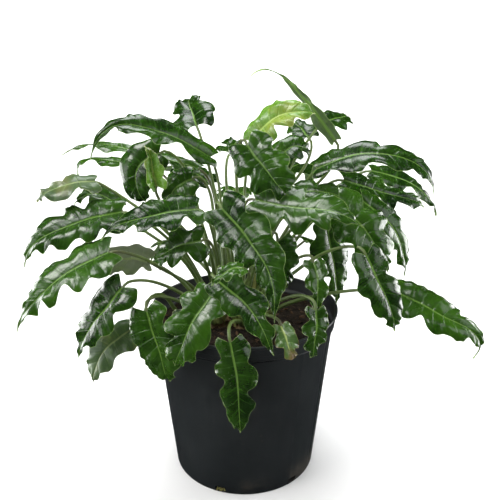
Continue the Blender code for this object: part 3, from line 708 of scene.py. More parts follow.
@dataclass(kw_only=True)
class LeafPiece(Piece):
    """A blade and its stalk in one closed mesh."""

    leaf: Leaf
    foot: Vector
    seed: int
    sharp_angle: float = 75.0

    FACTS = ("share", "rib_gap", "rim_gap", "t", "count", "stalk", "tint")
    FAR_FROM_RIM = 20.0

    def __post_init__(self) -> None:
        """Names the piece after its leaf and draws its tint."""
        self.name = self.leaf.name.replace("leaf_", "blade_")
        self.node = self.leaf.name
        self.slot = "leaf_" + self.leaf.tone.value
        self.surface = BladeShape(self.leaf, self.seed)
        self.tint = random.Random(self.seed * 7 + 1).random()

    def shape(self) -> BMesh:
        """Builds the upper side from a grid, then the underside and the stalk.

        Returns:
            The closed mesh.
        """
        bm = bmesh.new()
        tags = {name: bm.verts.layers.int.new(name) for name in ("row", "place", "lower")}
        facts = {name: bm.verts.layers.float.new("leaf_" + name) for name in self.FACTS}
        bmesh.ops.create_grid(bm, x_segments=BLADE.rows - 1, y_segments=2 * BLADE.reach, size=0.5)
        for vert in bm.verts:
            vert[tags["row"]] = round((vert.co.x + 0.5) * (BLADE.rows - 1))
            vert[tags["place"]] = round((vert.co.y + 0.5) * 2 * BLADE.reach) - BLADE.reach
        base: dict[int, Vector] = {}
        for vert in sorted(bm.verts, key=lambda v: v[tags["row"]]):
            row, place = vert[tags["row"]], vert[tags["place"]]
            vert.co, found = self.surface.spot(row, place)
            if row == 0:
                base[place] = vert.co.copy()
            if abs(place) >= len(BLADE.core):
                found["rim_gap"] = min(found["rim_gap"], (vert.co - base[place]).length / MM)
            found["tint"] = self.tint
            for name, value in found.items():
                vert[facts[name]] = value
        bm.normal_update()
        self._thicken(bm, tags, facts)
        self._grow_stalk(bm, tags, facts)
        self._lay_uv(bm, facts)
        bmesh.ops.recalc_face_normals(bm, faces=bm.faces)
        if bm.calc_volume(signed=True) < 0:
            bmesh.ops.reverse_faces(bm, faces=bm.faces)
        for name in tags:
            bm.verts.layers.int.remove(bm.verts.layers.int[name])
        return bm

    def _thicken(self, bm: BMesh, tags: Layers, facts: Layers) -> None:
        """Gives the blade its underside, with the midrib proud of it.

        Args:
            bm: the leaf's mesh so far.
            tags: the whole numbers that its vertices carry.
            facts: the measures that its vertices carry.
        """
        place_tag, row_tag = tags["place"], tags["row"]
        normals = {(vert[row_tag], vert[place_tag]): vert.normal.copy() for vert in bm.verts}
        lower = bmesh.ops.extrude_face_region(bm, geom=bm.faces[:])["geom"]
        for vert in only(lower, bmesh.types.BMVert):
            gap, share = vert[facts["rib_gap"]] * MM, vert[facts["share"]]
            rib = BLADE.rib_thickness * (1.0 - share) ** 0.8 * hump(gap, BLADE.rib_spread)
            rim = 0.55 + 0.45 * smooth_step(vert[facts["rim_gap"]], 0.0, 0.8)
            vert.co -= normals[vert[row_tag], vert[place_tag]] * (BLADE.thickness * rim + rib)
            vert[tags["lower"]] = 1
        for face in bm.faces:
            below = all(vert[tags["lower"]] for vert in face.verts)
            face.material_index = Surface.UNDER if below else Surface.TOP

    def _stalk_path(self) -> list[Vector]:
        """Routes the stalk from just behind the blade to the crown.

        Returns:
            Points down the stalk.
        """
        way, up = self.surface.ways[0], self.surface.ups[0]
        base = placed(self.leaf.route[0])
        neck = base - way * STALK.neck_length - up * STALK.neck_drop
        stand = Vector((self.foot.x, self.foot.y, CROWN_TOP + FIT_GAP))
        rise = neck - stand
        bend_rise = max(rise.z * STALK.bend_up, STALK.least_bend)
        bend = stand + Vector((rise.x * STALK.bend_out, rise.y * STALK.bend_out, bend_rise))
        stops = [base, neck, *[placed(point) for point in reversed(self.leaf.via)], bend, stand]
        return through(stops, STALK.rings + 1)

    def _grow_stalk(self, bm: BMesh, tags: Layers, facts: Layers) -> None:
        """Runs the stalk back from the blade's end to the crown, ring by ring.

        Args:
            bm: the leaf's mesh so far.
            tags: the whole numbers that its vertices carry.
            facts: the measures that its vertices carry.
        """
        last = len(BLADE.core) - 1
        end = [face for face in bm.faces
               if all(vert[tags["row"]] == 0 and abs(vert[tags["place"]]) <= last for vert in face.verts)]
        places = range(-last, last + 1)
        angles = {place: math.pi * (1.0 - (index + 0.5) / len(places)) for index, place in enumerate(places)}
        path = self._stalk_path()
        whole = sum((b - a).length for a, b in zip(path, path[1:]))
        turns = directions(path)[1:]
        ups = carried(self.surface.ups[0], turns)
        for index, (spot, turn, ring_up) in enumerate(zip(path[1:], turns, ups)):
            share = index / (STALK.rings - 1)
            left = (1.0 - share) * whole
            radius = STALK.neck_radius + (STALK.foot_radius - STALK.neck_radius) * share
            radius *= 1.0 + STALK.foot_flare * math.exp(-left / STALK.flare_length)
            radius *= 1.0 + STALK.bumps * noise.noise(Vector((share * 9.0, self.seed * 1.7, 0.0)))
            if index == STALK.rings - 1:
                turn = Vector((0, 0, -1))
                ring_up = carried(ring_up, [turn])[0]
            side = turn.cross(ring_up)
            made = bmesh.ops.extrude_face_region(bm, geom=end)["geom"]
            bmesh.ops.delete(bm, geom=end, context="FACES")
            end = only(made, bmesh.types.BMFace)
            flat = 1.0 - STALK.groove_depth * math.exp(-left / STALK.groove_length) - 0.12
            for vert in only(made, bmesh.types.BMVert):
                angle = angles[vert[tags["place"]]] * (-1 if vert[tags["lower"]] else 1)
                out = side * math.cos(angle) + ring_up * math.sin(angle) * (flat if angle > 0 else 1.0)
                vert.co = spot + out * radius
                vert[facts["stalk"]] = max(share, 0.02)
                vert[facts["rim_gap"]] = self.FAR_FROM_RIM
        for face in bm.faces:
            if any(vert[facts["stalk"]] > 0 for vert in face.verts):
                face.material_index = Surface.STALK

    @staticmethod
    def _lay_uv(bm: BMesh, facts: Layers) -> None:
        """Lays u along the leaf and v across it.

        Args:
            bm: the leaf's whole mesh.
            facts: the measures that its vertices carry.
        """
        layer = bm.loops.layers.uv.new("leaf_uv")
        for face in bm.faces:
            for loop in face.loops:
                vert = loop.vert
                along = vert[facts["share"]] - vert[facts["stalk"]]
                loop[layer].uv = (along, 0.5 + 0.5 * vert[facts["t"]])


# ---------------------------------------------------------------------------------------------------
# Materials
# ---------------------------------------------------------------------------------------------------


class Graph:
    """Adds nodes to one tree. Each method but add and group returns the new node's main output."""

    def __init__(self, tree: bpy.types.NodeTree) -> None:
        """Keeps the tree that the nodes go into."""
        self.tree = tree

    def add(self, kind: str, inputs: Optional[dict] = None, **settings: object) -> bpy.types.Node:
        """Adds one shader node.

        Args:
            kind: the node's type, without its ShaderNode prefix.
            inputs: a value or link for each input, by name or index.
            **settings: the node's own settings.

        Returns:
            The node.
        """
        node = self.tree.nodes.new("ShaderNode" + kind)
        for name, value in settings.items():
            setattr(node, name, value)
        for name, value in (inputs or {}).items():
            self.feed(node.inputs[name], value)
        return node

    def group(self, tree: bpy.types.NodeTree, **values: Value) -> bpy.types.Node:
        """Adds a group node.

        Args:
            tree: the group.
            **values: its inputs by name, with an underscore for each space.

        Returns:
            The node.
        """
        node = self.tree.nodes.new("ShaderNodeGroup")
        node.node_tree = tree
        return self.fill(node, values)

    def fill(self, node: bpy.types.Node, values: dict[str, Value]) -> bpy.types.Node:
        """Sets or links a node's inputs.

        Args:
            node: the node.
            values: its inputs by name, with an underscore for each space.

        Returns:
            The same node.
        """
        for name, value in values.items():
            self.feed(node.inputs[name.replace("_", " ")], value)
        return node

    def feed(self, socket: Socket, value: Value) -> None:
        """Links or sets one input.

        Args:
            socket: the input.
            value: an output to link, or a number, colour or vector to set.
        """
        if isinstance(value, Socket):
            self.tree.links.new(value, socket)
        elif isinstance(value, tuple) and socket.type == "RGBA" and len(value) == 3:
            socket.default_value = (*value, 1.0)
        else:
            socket.default_value = value

    def math(self, operation: str, *values: Value, clamp: bool = False) -> Socket:
        """A math node over one to three values, kept within 0 to 1 where clamp is set."""
        return self.add("Math", dict(enumerate(values)), operation=operation, use_clamp=clamp).outputs[0]

    def times(self, first: Value, second: Value) -> Socket:
        """One value multiplied by another."""
        return self.math("MULTIPLY", first, second)

    def plus(self, first: Value, second: Value, clamp: bool = False) -> Socket:
        """One value added to another."""
        return self.math("ADD", first, second, clamp=clamp)

    def less(self, first: Value, second: Value) -> Socket:
        """One value with another taken away."""
        return self.math("SUBTRACT", first, second)

    def fact(self, name: str) -> Socket:
        """One of the numbers that the mesh carries at its vertices."""
        return self.add("Attribute", attribute_name=name, attribute_type="GEOMETRY").outputs["Fac"]

    def place(self) -> Socket:
        """Object coordinates."""
        return self.add("TexCoord").outputs["Object"]

    def stretched(self, scale: Point) -> Socket:
        """Object coordinates scaled along each axis."""
        return self.add("Mapping", {"Vector": self.place(), "Scale": scale}).outputs["Vector"]

    def noise(self, scale: Value, detail: float = 3.0, roughness: float = 0.5,
              vector: Optional[Socket] = None) -> Socket:
        """Noise from 0 to 1.

        Args:
            scale: how many features fit in a unit.
            detail: octaves of finer noise.
            roughness: how strong the finer noise is.
            vector: coordinates, or the object's own where left out.

        Returns:
            The noise.
        """
        inputs = {"Vector": vector or self.place(), "Scale": scale, "Detail": detail, "Roughness": roughness}
        return self.add("TexNoise", inputs).outputs["Fac"]

    def cells(self, scale: Value, vector: Optional[Socket] = None) -> Socket:
        """Distance to the nearest of many scattered points, over the object or the vector given."""
        inputs = {"Vector": vector or self.place(), "Scale": scale}
        return self.add("TexVoronoi", inputs).outputs["Distance"]

    def span(self, value: Value, low: float, high: float, start: float = 0.0, end: float = 1.0) -> Socket:
        """Takes a value smoothly from one range to another.

        Args:
            value: what to take.
            low: the value that gives start.
            high: the value that gives end.
            start: the result at low.
            end: the result at high.

        Returns:
            The result, which stays between start and end.
        """
        inputs = {"Value": value, "From Min": low, "From Max": high, "To Min": start, "To Max": end}
        return self.add("MapRange", inputs, interpolation_type="SMOOTHSTEP").outputs["Result"]

    def mix(self, share: Value, first: Value, second: Value) -> Socket:
        """Mixes two colours.

        Args:
            share: how much of the second, 0 to 1.
            first: a colour.
            second: another.

        Returns:
            The colour.
        """
        node = self.add("Mix", data_type="RGBA")
        for socket, value in zip((node.inputs[0], node.inputs[6], node.inputs[7]), (share, first, second)):
            self.feed(socket, value)
        return node.outputs[2]

    def over(self, base: Value, layer: Value, share: Socket, most: float = 1.0) -> Socket:
        """Lays one colour over another.

        Args:
            base: the colour below.
            layer: the colour above.
            share: where the layer shows, 0 to 1.
            most: how much of it shows where share is 1.

        Returns:
            The colour.
        """
        return self.mix(share if most == 1.0 else self.times(share, most), base, layer)

    def bump(self, height: Value, strength: float, distance: float,
             normal: Optional[Socket] = None) -> Socket:
        """A normal bumped by height.

        Args:
            height: the height, 0 to 1.
            strength: how much of the bump shows.
            distance: how far 1 stands out, in metres.
            normal: a normal that is bumped already.

        Returns:
            The normal.
        """
        inputs = {"Height": height, "Strength": strength, "Distance": distance}
        if normal is not None:
            inputs["Normal"] = normal
        return self.add("Bump", inputs).outputs["Normal"]


class GroupMaker:
    """Makes the node groups that several finishes share."""

    def __init__(self) -> None:
        """Makes every group once."""
        self.pattern = self._make("leaf_pattern", {"Vein Width": 1.0}, self._pattern)
        self.mottle = self._make("mottle", {"Scale": 30.0, "Contrast": 0.5}, self._mottle)
        self.grime = self._make("grime", {"Scale": 40.0, "Amount": 0.5}, self._grime)

    @staticmethod
    def _make(name: str, inputs: dict[str, float],
              fill: Callable[[Graph, bpy.types.Node], dict[str, Socket]]) -> bpy.types.NodeTree:
        """Makes one group.

        Args:
            name: the group's name.
            inputs: each input's name and usual value.
            fill: adds the nodes and returns the outputs by name.

        Returns:
            The group's tree.
        """
        tree = bpy.data.node_groups.new(name, "ShaderNodeTree")
        for title, value in inputs.items():
            socket = tree.interface.new_socket(title, in_out="INPUT", socket_type="NodeSocketFloat")
            socket.default_value = value
        outputs = fill(Graph(tree), tree.nodes.new("NodeGroupInput"))
        for title in outputs:
            tree.interface.new_socket(title, in_out="OUTPUT", socket_type="NodeSocketFloat")
        end = tree.nodes.new("NodeGroupOutput")
        for title, socket in outputs.items():
            tree.links.new(socket, end.inputs[title])
        return tree

    @staticmethod
    def _pattern(g: Graph, given: bpy.types.Node) -> dict[str, Socket]:
        """Where the midrib, side veins and pale rim lie on a blade, and how the veins dent it; the pale rim
        is partly a painted edge highlight.

        Args:
            g: the group's graph.
            given: the group's input node.

        Returns:
            The outputs by name.
        """
        gap, rim, count = g.fact("leaf_rib_gap"), g.fact("leaf_rim_gap"), g.fact("leaf_count")
        share = g.fact("leaf_share")
        wide = given.outputs["Vein Width"]
        width = g.times(g.span(share, 0.0, 1.0, 1.15, 0.35), wide)
        midrib = g.span(g.math("DIVIDE", gap, width), 0.7, 1.7, 1.0, 0.0)
        wander = g.times(g.less(g.noise(60.0, 2.0), 0.5), 0.16)
        near = g.math("PINGPONG", g.plus(count, wander), 0.5)
        reach = g.math("DIVIDE", gap, g.plus(gap, rim))
        taper = g.span(reach, 0.15, 0.95, 1.0, 0.12)
        thin = g.times(g.times(taper, 0.055), wide)
        vein = g.times(g.span(g.math("DIVIDE", near, thin), 0.35, 1.3, 1.0, 0.0), taper)
        soft = g.times(g.span(near, 0.0, 0.22, 1.0, 0.0), taper)
        small = g.math("PINGPONG", g.times(g.plus(count, wander), 4.0), 0.5)
        lines = g.span(small, 0.0, 0.2, 1.0, 0.0)
        # Pale rim: the margin's own paler tissue, painted brighter to stand in for the highlight along the
        # edge.
        edge = g.span(g.plus(rim, g.times(g.noise(220.0, 2.0), 0.3)), 0.3, 0.72, 1.0, 0.0)
        dent = g.plus(g.times(vein, 0.5), g.times(soft, 0.55))
        dent = g.plus(dent, g.times(lines, 0.12))
        return {"Midrib": midrib, "Vein": vein, "Glow": soft, "Lines": lines, "PaleRimAndHighlight": edge, "Dent": dent}

    @staticmethod
    def _mottle(g: Graph, given: bpy.types.Node) -> dict[str, Socket]:
        """Soft uneven colour: large patches with finer ones over them.

        Args:
            g: the group's graph.
            given: the group's input node.

        Returns:
            The outputs by name.
        """
        scale, contrast = given.outputs["Scale"], given.outputs["Contrast"]
        large = g.noise(scale, 2.0)
        small = g.noise(g.times(scale, 5.5), 4.0, 0.6)
        both = g.plus(g.times(large, 0.65), g.times(small, 0.35))
        centred = g.times(g.less(both, 0.5), g.times(contrast, 5.0))
        return {"Share": g.plus(centred, 0.5, clamp=True), "Fine": small}

    @staticmethod
    def _grime(g: Graph, given: bpy.types.Node) -> dict[str, Socket]:
        """Dried splashes and dust: spots with soft edges.

        Args:
            g: the group's graph.
            given: the group's input node.

        Returns:
            The outputs by name.
        """
        scale, amount = given.outputs["Scale"], given.outputs["Amount"]
        spots = g.span(g.cells(g.times(scale, 6.0)), 0.12, 0.26, 1.0, 0.0)
        patches = g.span(g.noise(scale, 4.0, 0.65), 0.48, 0.7)
        return {"Spots": g.times(g.times(spots, patches), amount), "Film": g.times(patches, amount)}


@dataclass(frozen=True)
class LeafFinish:
    """How leaves of one age look, in linear colour."""

    deep: Colour
    light: Colour
    rib: Colour
    vein: Colour
    # The pale margin's colour, partly a painted highlight along the edge.
    rim: Colour
    under: Colour
    under_light: Colour
    stalk: Colour = (0.045, 0.078, 0.02)
    stalk_light: Colour = (0.13, 0.19, 0.045)
    gloss: float = 0.23
    blush: float = 0.0
    blush_colour: Colour = (0.3, 0.24, 0.05)
    brown: bool = False


# Each finish's fifth colour, the rim, is partly a painted highlight along the edge.
LEAF_FINISHES = {
    Tone.MATURE: LeafFinish((0.004, 0.0165, 0.0016), (0.026, 0.077, 0.0044), (0.105, 0.2, 0.035),
                            (0.038, 0.11, 0.011), (0.27, 0.38, 0.14), (0.055, 0.095, 0.035),
                            (0.1, 0.15, 0.065)),
    Tone.YOUNG: LeafFinish((0.045, 0.13, 0.013), (0.15, 0.29, 0.035), (0.42, 0.55, 0.16),
                           (0.3, 0.45, 0.1), (0.55, 0.58, 0.3), (0.19, 0.3, 0.07), (0.3, 0.42, 0.12),
                           gloss=0.27, blush=0.35),
    Tone.AGED: LeafFinish((0.026, 0.056, 0.018), (0.062, 0.108, 0.036), (0.2, 0.26, 0.1),
                          (0.13, 0.19, 0.07), (0.4, 0.4, 0.27), (0.12, 0.15, 0.085), (0.2, 0.23, 0.14),
                          gloss=0.38, blush=0.25, blush_colour=(0.2, 0.15, 0.05)),
    Tone.BROWNED: LeafFinish((0.013, 0.04, 0.006), (0.045, 0.105, 0.014), (0.25, 0.32, 0.09),
                             (0.18, 0.25, 0.07), (0.3, 0.26, 0.12), (0.14, 0.18, 0.07), (0.2, 0.24, 0.1),
                             gloss=0.36, blush=0.3, brown=True),
}


class Finishes:
    """Makes every material once."""

    FLESH = {"Subsurface_Weight": 0.12, "Subsurface_Radius": (0.8, 1.0, 0.3), "Subsurface_Scale": 0.002}

    def __init__(self) -> None:
        """Makes the groups that the materials share."""
        self.groups = GroupMaker()

    @staticmethod
    def _start(name: str) -> tuple[Material, Graph, bpy.types.Node]:
        """Starts a material.

        Args:
            name: the material's name.

        Returns:
            The material, the graph of its nodes and its shader.
        """
        made = bpy.data.materials.new(name)
        made.use_nodes = True
        return made, Graph(made.node_tree), made.node_tree.nodes["Principled BSDF"]

    @staticmethod
    def _dress(g: Graph, shader: bpy.types.Node, colour: Value, rough: Value, normal: Socket,
               specular: float, **more: Value) -> None:
        """Feeds the shader.

        Args:
            g: the material's graph.
            shader: its shader.
            colour: the base colour.
            rough: the roughness.
            normal: the bumped normal.
            specular: the specular level.
            **more: other inputs by name, with an underscore for each space.
        """
        usual = {"Base_Color": colour, "Roughness": rough, "Normal": normal, "Specular_IOR_Level": specular}
        g.fill(shader, {**usual, **more})

    def leaf(self, tone: Tone) -> list[Material]:
        """The upper side, underside and stalk for one tone of leaf."""
        finish = LEAF_FINISHES[tone]
        return [make(tone.value, finish) for make in (self._leaf_top, self._leaf_under, self._stalk)]

    @staticmethod
    def _brown(g: Graph, colour: Socket, finish: LeafFinish) -> Socket:
        """Lets dead tissue creep in from the rim and the tip.

        Args:
            g: the material's graph.
            colour: the living leaf's colour.
            finish: the leaf's finish.

        Returns:
            The colour, changed only where the finish is a browned one.
        """
        if not finish.brown:
            return colour
        rim = g.span(g.plus(g.fact("leaf_rim_gap"), g.times(g.noise(90.0), 6.0)), 1.6, 4.4, 1.0, 0.0)
        tip = g.span(g.plus(g.fact("leaf_share"), g.times(g.noise(70.0), 0.3)), 0.75, 0.95)
        dead = g.mix(g.noise(400.0, 4.0), (0.075, 0.048, 0.018), (0.2, 0.14, 0.05))
        return g.over(colour, dead, g.math("MAXIMUM", rim, tip))

    def _leaf_top(self, tone: str, finish: LeafFinish) -> Material:
        """The glossy, veined upper side of a blade.

        Args:
            tone: the end of the material's name.
            finish: the leaf's finish.

        Returns:
            The material.
        """
        made, g, shader = self._start("leaf_top_" + tone)
        pattern = g.group(self.groups.pattern).outputs
        mottle = g.group(self.groups.mottle, Scale=26.0, Contrast=0.55).outputs
        grime = g.group(self.groups.grime, Scale=34.0, Amount=0.6).outputs
        tint = g.times(g.less(g.fact("leaf_tint"), 0.5), 0.55)
        colour = g.mix(g.plus(mottle["Share"], tint, clamp=True), finish.deep, finish.light)
        colour = g.over(colour, finish.light, pattern["Glow"], 0.22)
        if finish.blush:
            colour = g.over(colour, finish.blush_colour, g.span(g.noise(38.0, 3.0), 0.5, 0.68), finish.blush)
        # The rim layer is the pale margin, painted brighter as the highlight along the edge.
        layers = ((finish.vein, pattern["Lines"], 0.12), (finish.vein, pattern["Vein"], 0.32),
                  (finish.rib, pattern["Midrib"], 1.0), (finish.rim, pattern["PaleRimAndHighlight"], 0.6),
                  ((0.3, 0.33, 0.26), grime["Spots"], 0.22))
        for layer, share, most in layers:
            colour = g.over(colour, layer, share, most)
        colour = self._brown(g, colour, finish)
        rough = g.plus(g.times(grime["Film"], 0.1), g.times(mottle["Fine"], 0.12))
        rough = g.plus(rough, g.times(grime["Spots"], 0.14))
        rough = g.plus(rough, finish.gloss - 0.06)
        normal = g.bump(g.less(g.times(mottle["Fine"], 0.5), pattern["Dent"]), 0.7, 0.0006)
        normal = g.bump(g.cells(1500.0), 0.18, 0.0001, normal)
        normal = g.bump(g.noise(120.0, 2.0), 0.5, 0.0012, normal)
        self._dress(g, shader, colour, rough, normal, 0.48, Coat_Weight=0.25, Coat_Roughness=0.12,
                    **self.FLESH)
        return made

    def _leaf_under(self, tone: str, finish: LeafFinish) -> Material:
        """The pale, matt underside of a blade.

        Args:
            tone: the end of the material's name.
            finish: the leaf's finish.

        Returns:
            The material.
        """
        made, g, shader = self._start("leaf_under_" + tone)
        pattern = g.group(self.groups.pattern, Vein_Width=1.4).outputs
        mottle = g.group(self.groups.mottle, Scale=34.0, Contrast=0.4).outputs
        colour = g.mix(mottle["Share"], finish.under, finish.under_light)
        colour = g.over(colour, finish.under_light, pattern["Vein"], 0.55)
        colour = g.over(colour, finish.rib, pattern["Midrib"])
        # Pale margin, painted brighter as the highlight along the edge.
        colour = g.over(colour, finish.rim, pattern["PaleRimAndHighlight"], 0.7)
        colour = self._brown(g, colour, finish)
        normal = g.bump(g.plus(pattern["Dent"], g.times(mottle["Fine"], 0.4)), 0.6, 0.0007)
        rough = g.plus(g.times(mottle["Fine"], 0.12), 0.44)
        self._dress(g, shader, colour, rough, normal, 0.35, **self.FLESH)
        return made

    def _stalk(self, tone: str, finish: LeafFinish) -> Material:
        """A streaked, flecked stalk, pale where it sheathes the crown and dull at the neck.

        Args:
            tone: the end of the material's name.
            finish: the leaf's finish.

        Returns:
            The material.
        """
        made, g, shader = self._start("leaf_stalk_" + tone)
        along = g.fact("leaf_stalk")
        mottle = g.group(self.groups.mottle, Scale=80.0, Contrast=0.6).outputs
        streaks = g.noise(1.0, 3.0, 0.6, g.stretched((700.0, 700.0, 60.0)))
        share = g.plus(g.times(mottle["Share"], 0.5), g.times(streaks, 0.5))
        colour = g.mix(share, finish.stalk, finish.stalk_light)
        colour = g.over(colour, (0.2, 0.22, 0.075), g.span(along, 0.72, 1.0), 0.75)
        neck = g.times(g.span(along, 0.0, 0.3, 1.0, 0.0), g.times(g.fact("leaf_tint"), 0.8))
        colour = g.over(colour, (0.06, 0.05, 0.028), neck)
        flecks = g.cells(1.0, g.stretched((520.0, 520.0, 260.0)))
        colour = g.over(colour, (0.035, 0.035, 0.02), g.span(flecks, 0.1, 0.22, 0.5, 0.0))
        normal = g.bump(streaks, 0.45, 0.0005)
        rough = g.plus(g.times(streaks, 0.2), 0.32)
        self._dress(g, shader, colour, rough, normal, 0.45)
        return made

    def pot(self) -> Material:
        """Satin black moulded plastic with scuffs, wiped streaks and dust at the foot.

        Returns:
            The material.
        """
        made, g, shader = self._start("pot_plastic_fine")
        mottle = g.group(self.groups.mottle, Scale=14.0, Contrast=0.5).outputs
        grime = g.group(self.groups.grime, Scale=16.0, Amount=0.8).outputs
        colour = g.mix(mottle["Share"], (0.0105, 0.0128, 0.0138), (0.0175, 0.0205, 0.0218))
        streaks = g.noise(1.0, 5.0, 0.7, g.stretched((60.0, 60.0, 4.0)))
        wiped = g.span(streaks, 0.5, 0.8)
        colour = g.over(colour, (0.035, 0.037, 0.038), wiped, 0.35)
        height = g.add("SeparateXYZ", {"Vector": g.place()}).outputs["Z"]
        foot = g.span(g.plus(height, g.times(streaks, 0.03)), 0.018, 0.055, 1.0, 0.0)
        low = g.times(foot, grime["Film"])
        dust = g.plus(g.times(low, 0.55), g.times(grime["Spots"], 0.2), clamp=True)
        colour = g.over(colour, (0.09, 0.075, 0.055), dust)
        scratch = g.noise(1.0, 6.0, 0.8, g.stretched((900.0, 900.0, 30.0)))
        colour = g.over(colour, (0.06, 0.062, 0.064), g.span(scratch, 0.66, 0.74), 0.25)
        rough = g.plus(g.times(mottle["Fine"], 0.14), 0.25)
        rough = g.plus(rough, g.times(wiped, 0.1))
        rough = g.plus(rough, g.times(dust, 0.35))
        normal = g.bump(g.noise(420.0, 2.0), 0.12, 0.0004)
        normal = g.bump(g.noise(18.0, 2.0), 0.25, 0.002, normal)
        normal = g.bump(scratch, 0.08, 0.0003, normal)
        self._dress(g, shader, colour, rough, normal, 0.5)
        return made

    def mix(self) -> Material:
        """Dark, crumbly potting mix with pale fibres, and painted shade in the hollows between crumbs.

        Returns:
            The material.
        """
        made, g, shader = self._start("potting_mix_fine")
        mottle = g.group(self.groups.mottle, Scale=90.0, Contrast=0.9).outputs
        colour = g.mix(mottle["Share"], (0.008, 0.0055, 0.004), (0.045, 0.03, 0.018))
        crumbs = g.span(g.cells(420.0), 0.1, 0.6)
        # Painted shade: darker in the hollows between crumbs, where the bump below sinks.
        colour = g.over(colour, (0.006, 0.004, 0.003), crumbs, 0.6)
        fibre = g.span(g.noise(1.0, 4.0, 0.7, g.stretched((500.0, 130.0, 400.0))), 0.66, 0.74)
        colour = g.over(colour, (0.11, 0.07, 0.035), fibre, 0.6)
        normal = g.bump(g.less(mottle["Fine"], crumbs), 1.0, 0.0015)
        self._dress(g, shader, colour, 0.93, normal, 0.25)
        return made

    def bark(self) -> Material:
        """Bark and wood chips, each of its own tone.

        Returns:
            The material.
        """
        made, g, shader = self._start("bark_chip_fine")
        tone = g.fact("chip_tone")
        grain = g.noise(1.0, 4.0, 0.6, g.stretched((300.0, 900.0, 500.0)))
        colour = g.mix(tone, (0.02, 0.012, 0.007), (0.12, 0.066, 0.032))
        colour = g.over(colour, (0.03, 0.018, 0.01), grain, 0.6)
        normal = g.bump(grain, 0.8, 0.0008)
        self._dress(g, shader, colour, 0.85, normal, 0.3)
        return made

    def sheath(self) -> Material:
        """Papery sheaths round the crowns, from fresh yellow-green to dry brown.

        Returns:
            The material.
        """
        made, g, shader = self._start("crown_sheath_fine")
        tone = g.fact("sheath_tone")
        mottle = g.group(self.groups.mottle, Scale=70.0, Contrast=0.7).outputs
        streaks = g.noise(1.0, 4.0, 0.65, g.stretched((600.0, 600.0, 40.0)))
        dry = g.mix(streaks, (0.075, 0.045, 0.02), (0.21, 0.14, 0.062))
        fresh = g.mix(mottle["Share"], (0.16, 0.2, 0.05), (0.4, 0.42, 0.14))
        colour = g.mix(tone, dry, fresh)
        normal = g.bump(streaks, 0.7, 0.0007)
        self._dress(g, shader, colour, 0.62, normal, 0.35)
        return made


# ---------------------------------------------------------------------------------------------------
# Pot, mix and crowns
# ---------------------------------------------------------------------------------------------------


def spun(profile: Sequence[tuple[float, float]], sides: int) -> BMesh:
    """Turns a profile about the upright axis.

    Args:
        profile: (radius, height) points.
        sides: how many steps go round.

    Returns:
        The mesh, normals outward.
    """
    bm = bmesh.new()
    verts = [bm.verts.new((radius, 0.0, height)) for radius, height in profile]
    edges = [bm.edges.new(pair) for pair in zip(verts, verts[1:])]
    bmesh.ops.spin(bm, geom=verts + edges, cent=(0, 0, 0), axis=(0, 0, 1), angle=math.tau, steps=sides,
                   use_merge=True)
    bmesh.ops.remove_doubles(bm, verts=bm.verts, dist=1e-6)
    bmesh.ops.recalc_face_normals(bm, faces=bm.faces)
    return bm


def rounded(corners: Sequence[tuple[float, float]], radius: float,
            steps: int = 4) -> Iterator[tuple[float, float]]:
    """Rounds each inner corner of a line.

    Args:
        corners: (radius, height) points.
        radius: how far back from a corner the rounding starts, where there is room.
        steps: how many chords round each corner.

    Yields:
        The line's new points.
    """
    yield corners[0]
    for before, here, after in zip(corners, corners[1:], corners[2:]):
        middle = Vector(here)
        to_before, to_after = Vector(before) - middle, Vector(after) - middle
        cut = min(radius, to_before.length * 0.45, to_after.length * 0.45)
        start, end = middle + to_before.normalized() * cut, middle + to_after.normalized() * cut
        for step in range(steps + 1):
            share = step / steps
            point = start.lerp(middle, share).lerp(middle.lerp(end, share), share)
            yield point.x, point.y
    yield corners[-1]


def soil_height(x: float, y: float) -> float:
    """Height of the potting mix's surface: a low dome with lumps and crumbs.

    Args:
        x: place across.
        y: place along.

    Returns:
        The height in metres.
    """
    radius = math.hypot(x, y)
    top = POT.height - SOIL_DROP - SOIL_CROWN * smooth_step(radius, 0.3 * POT.rim_radius, POT.rim_radius)
    lumps = 0.0021 * noise.noise(Vector((x * 45, y * 45, 3.0)))
    lumps += 0.0014 * noise.noise(Vector((x * 130, y * 130, 8.0)))
    crumbs = 0.0011 * abs(noise.noise(Vector((x * 420, y * 420, 1.0))))
    return top + lumps + crumbs


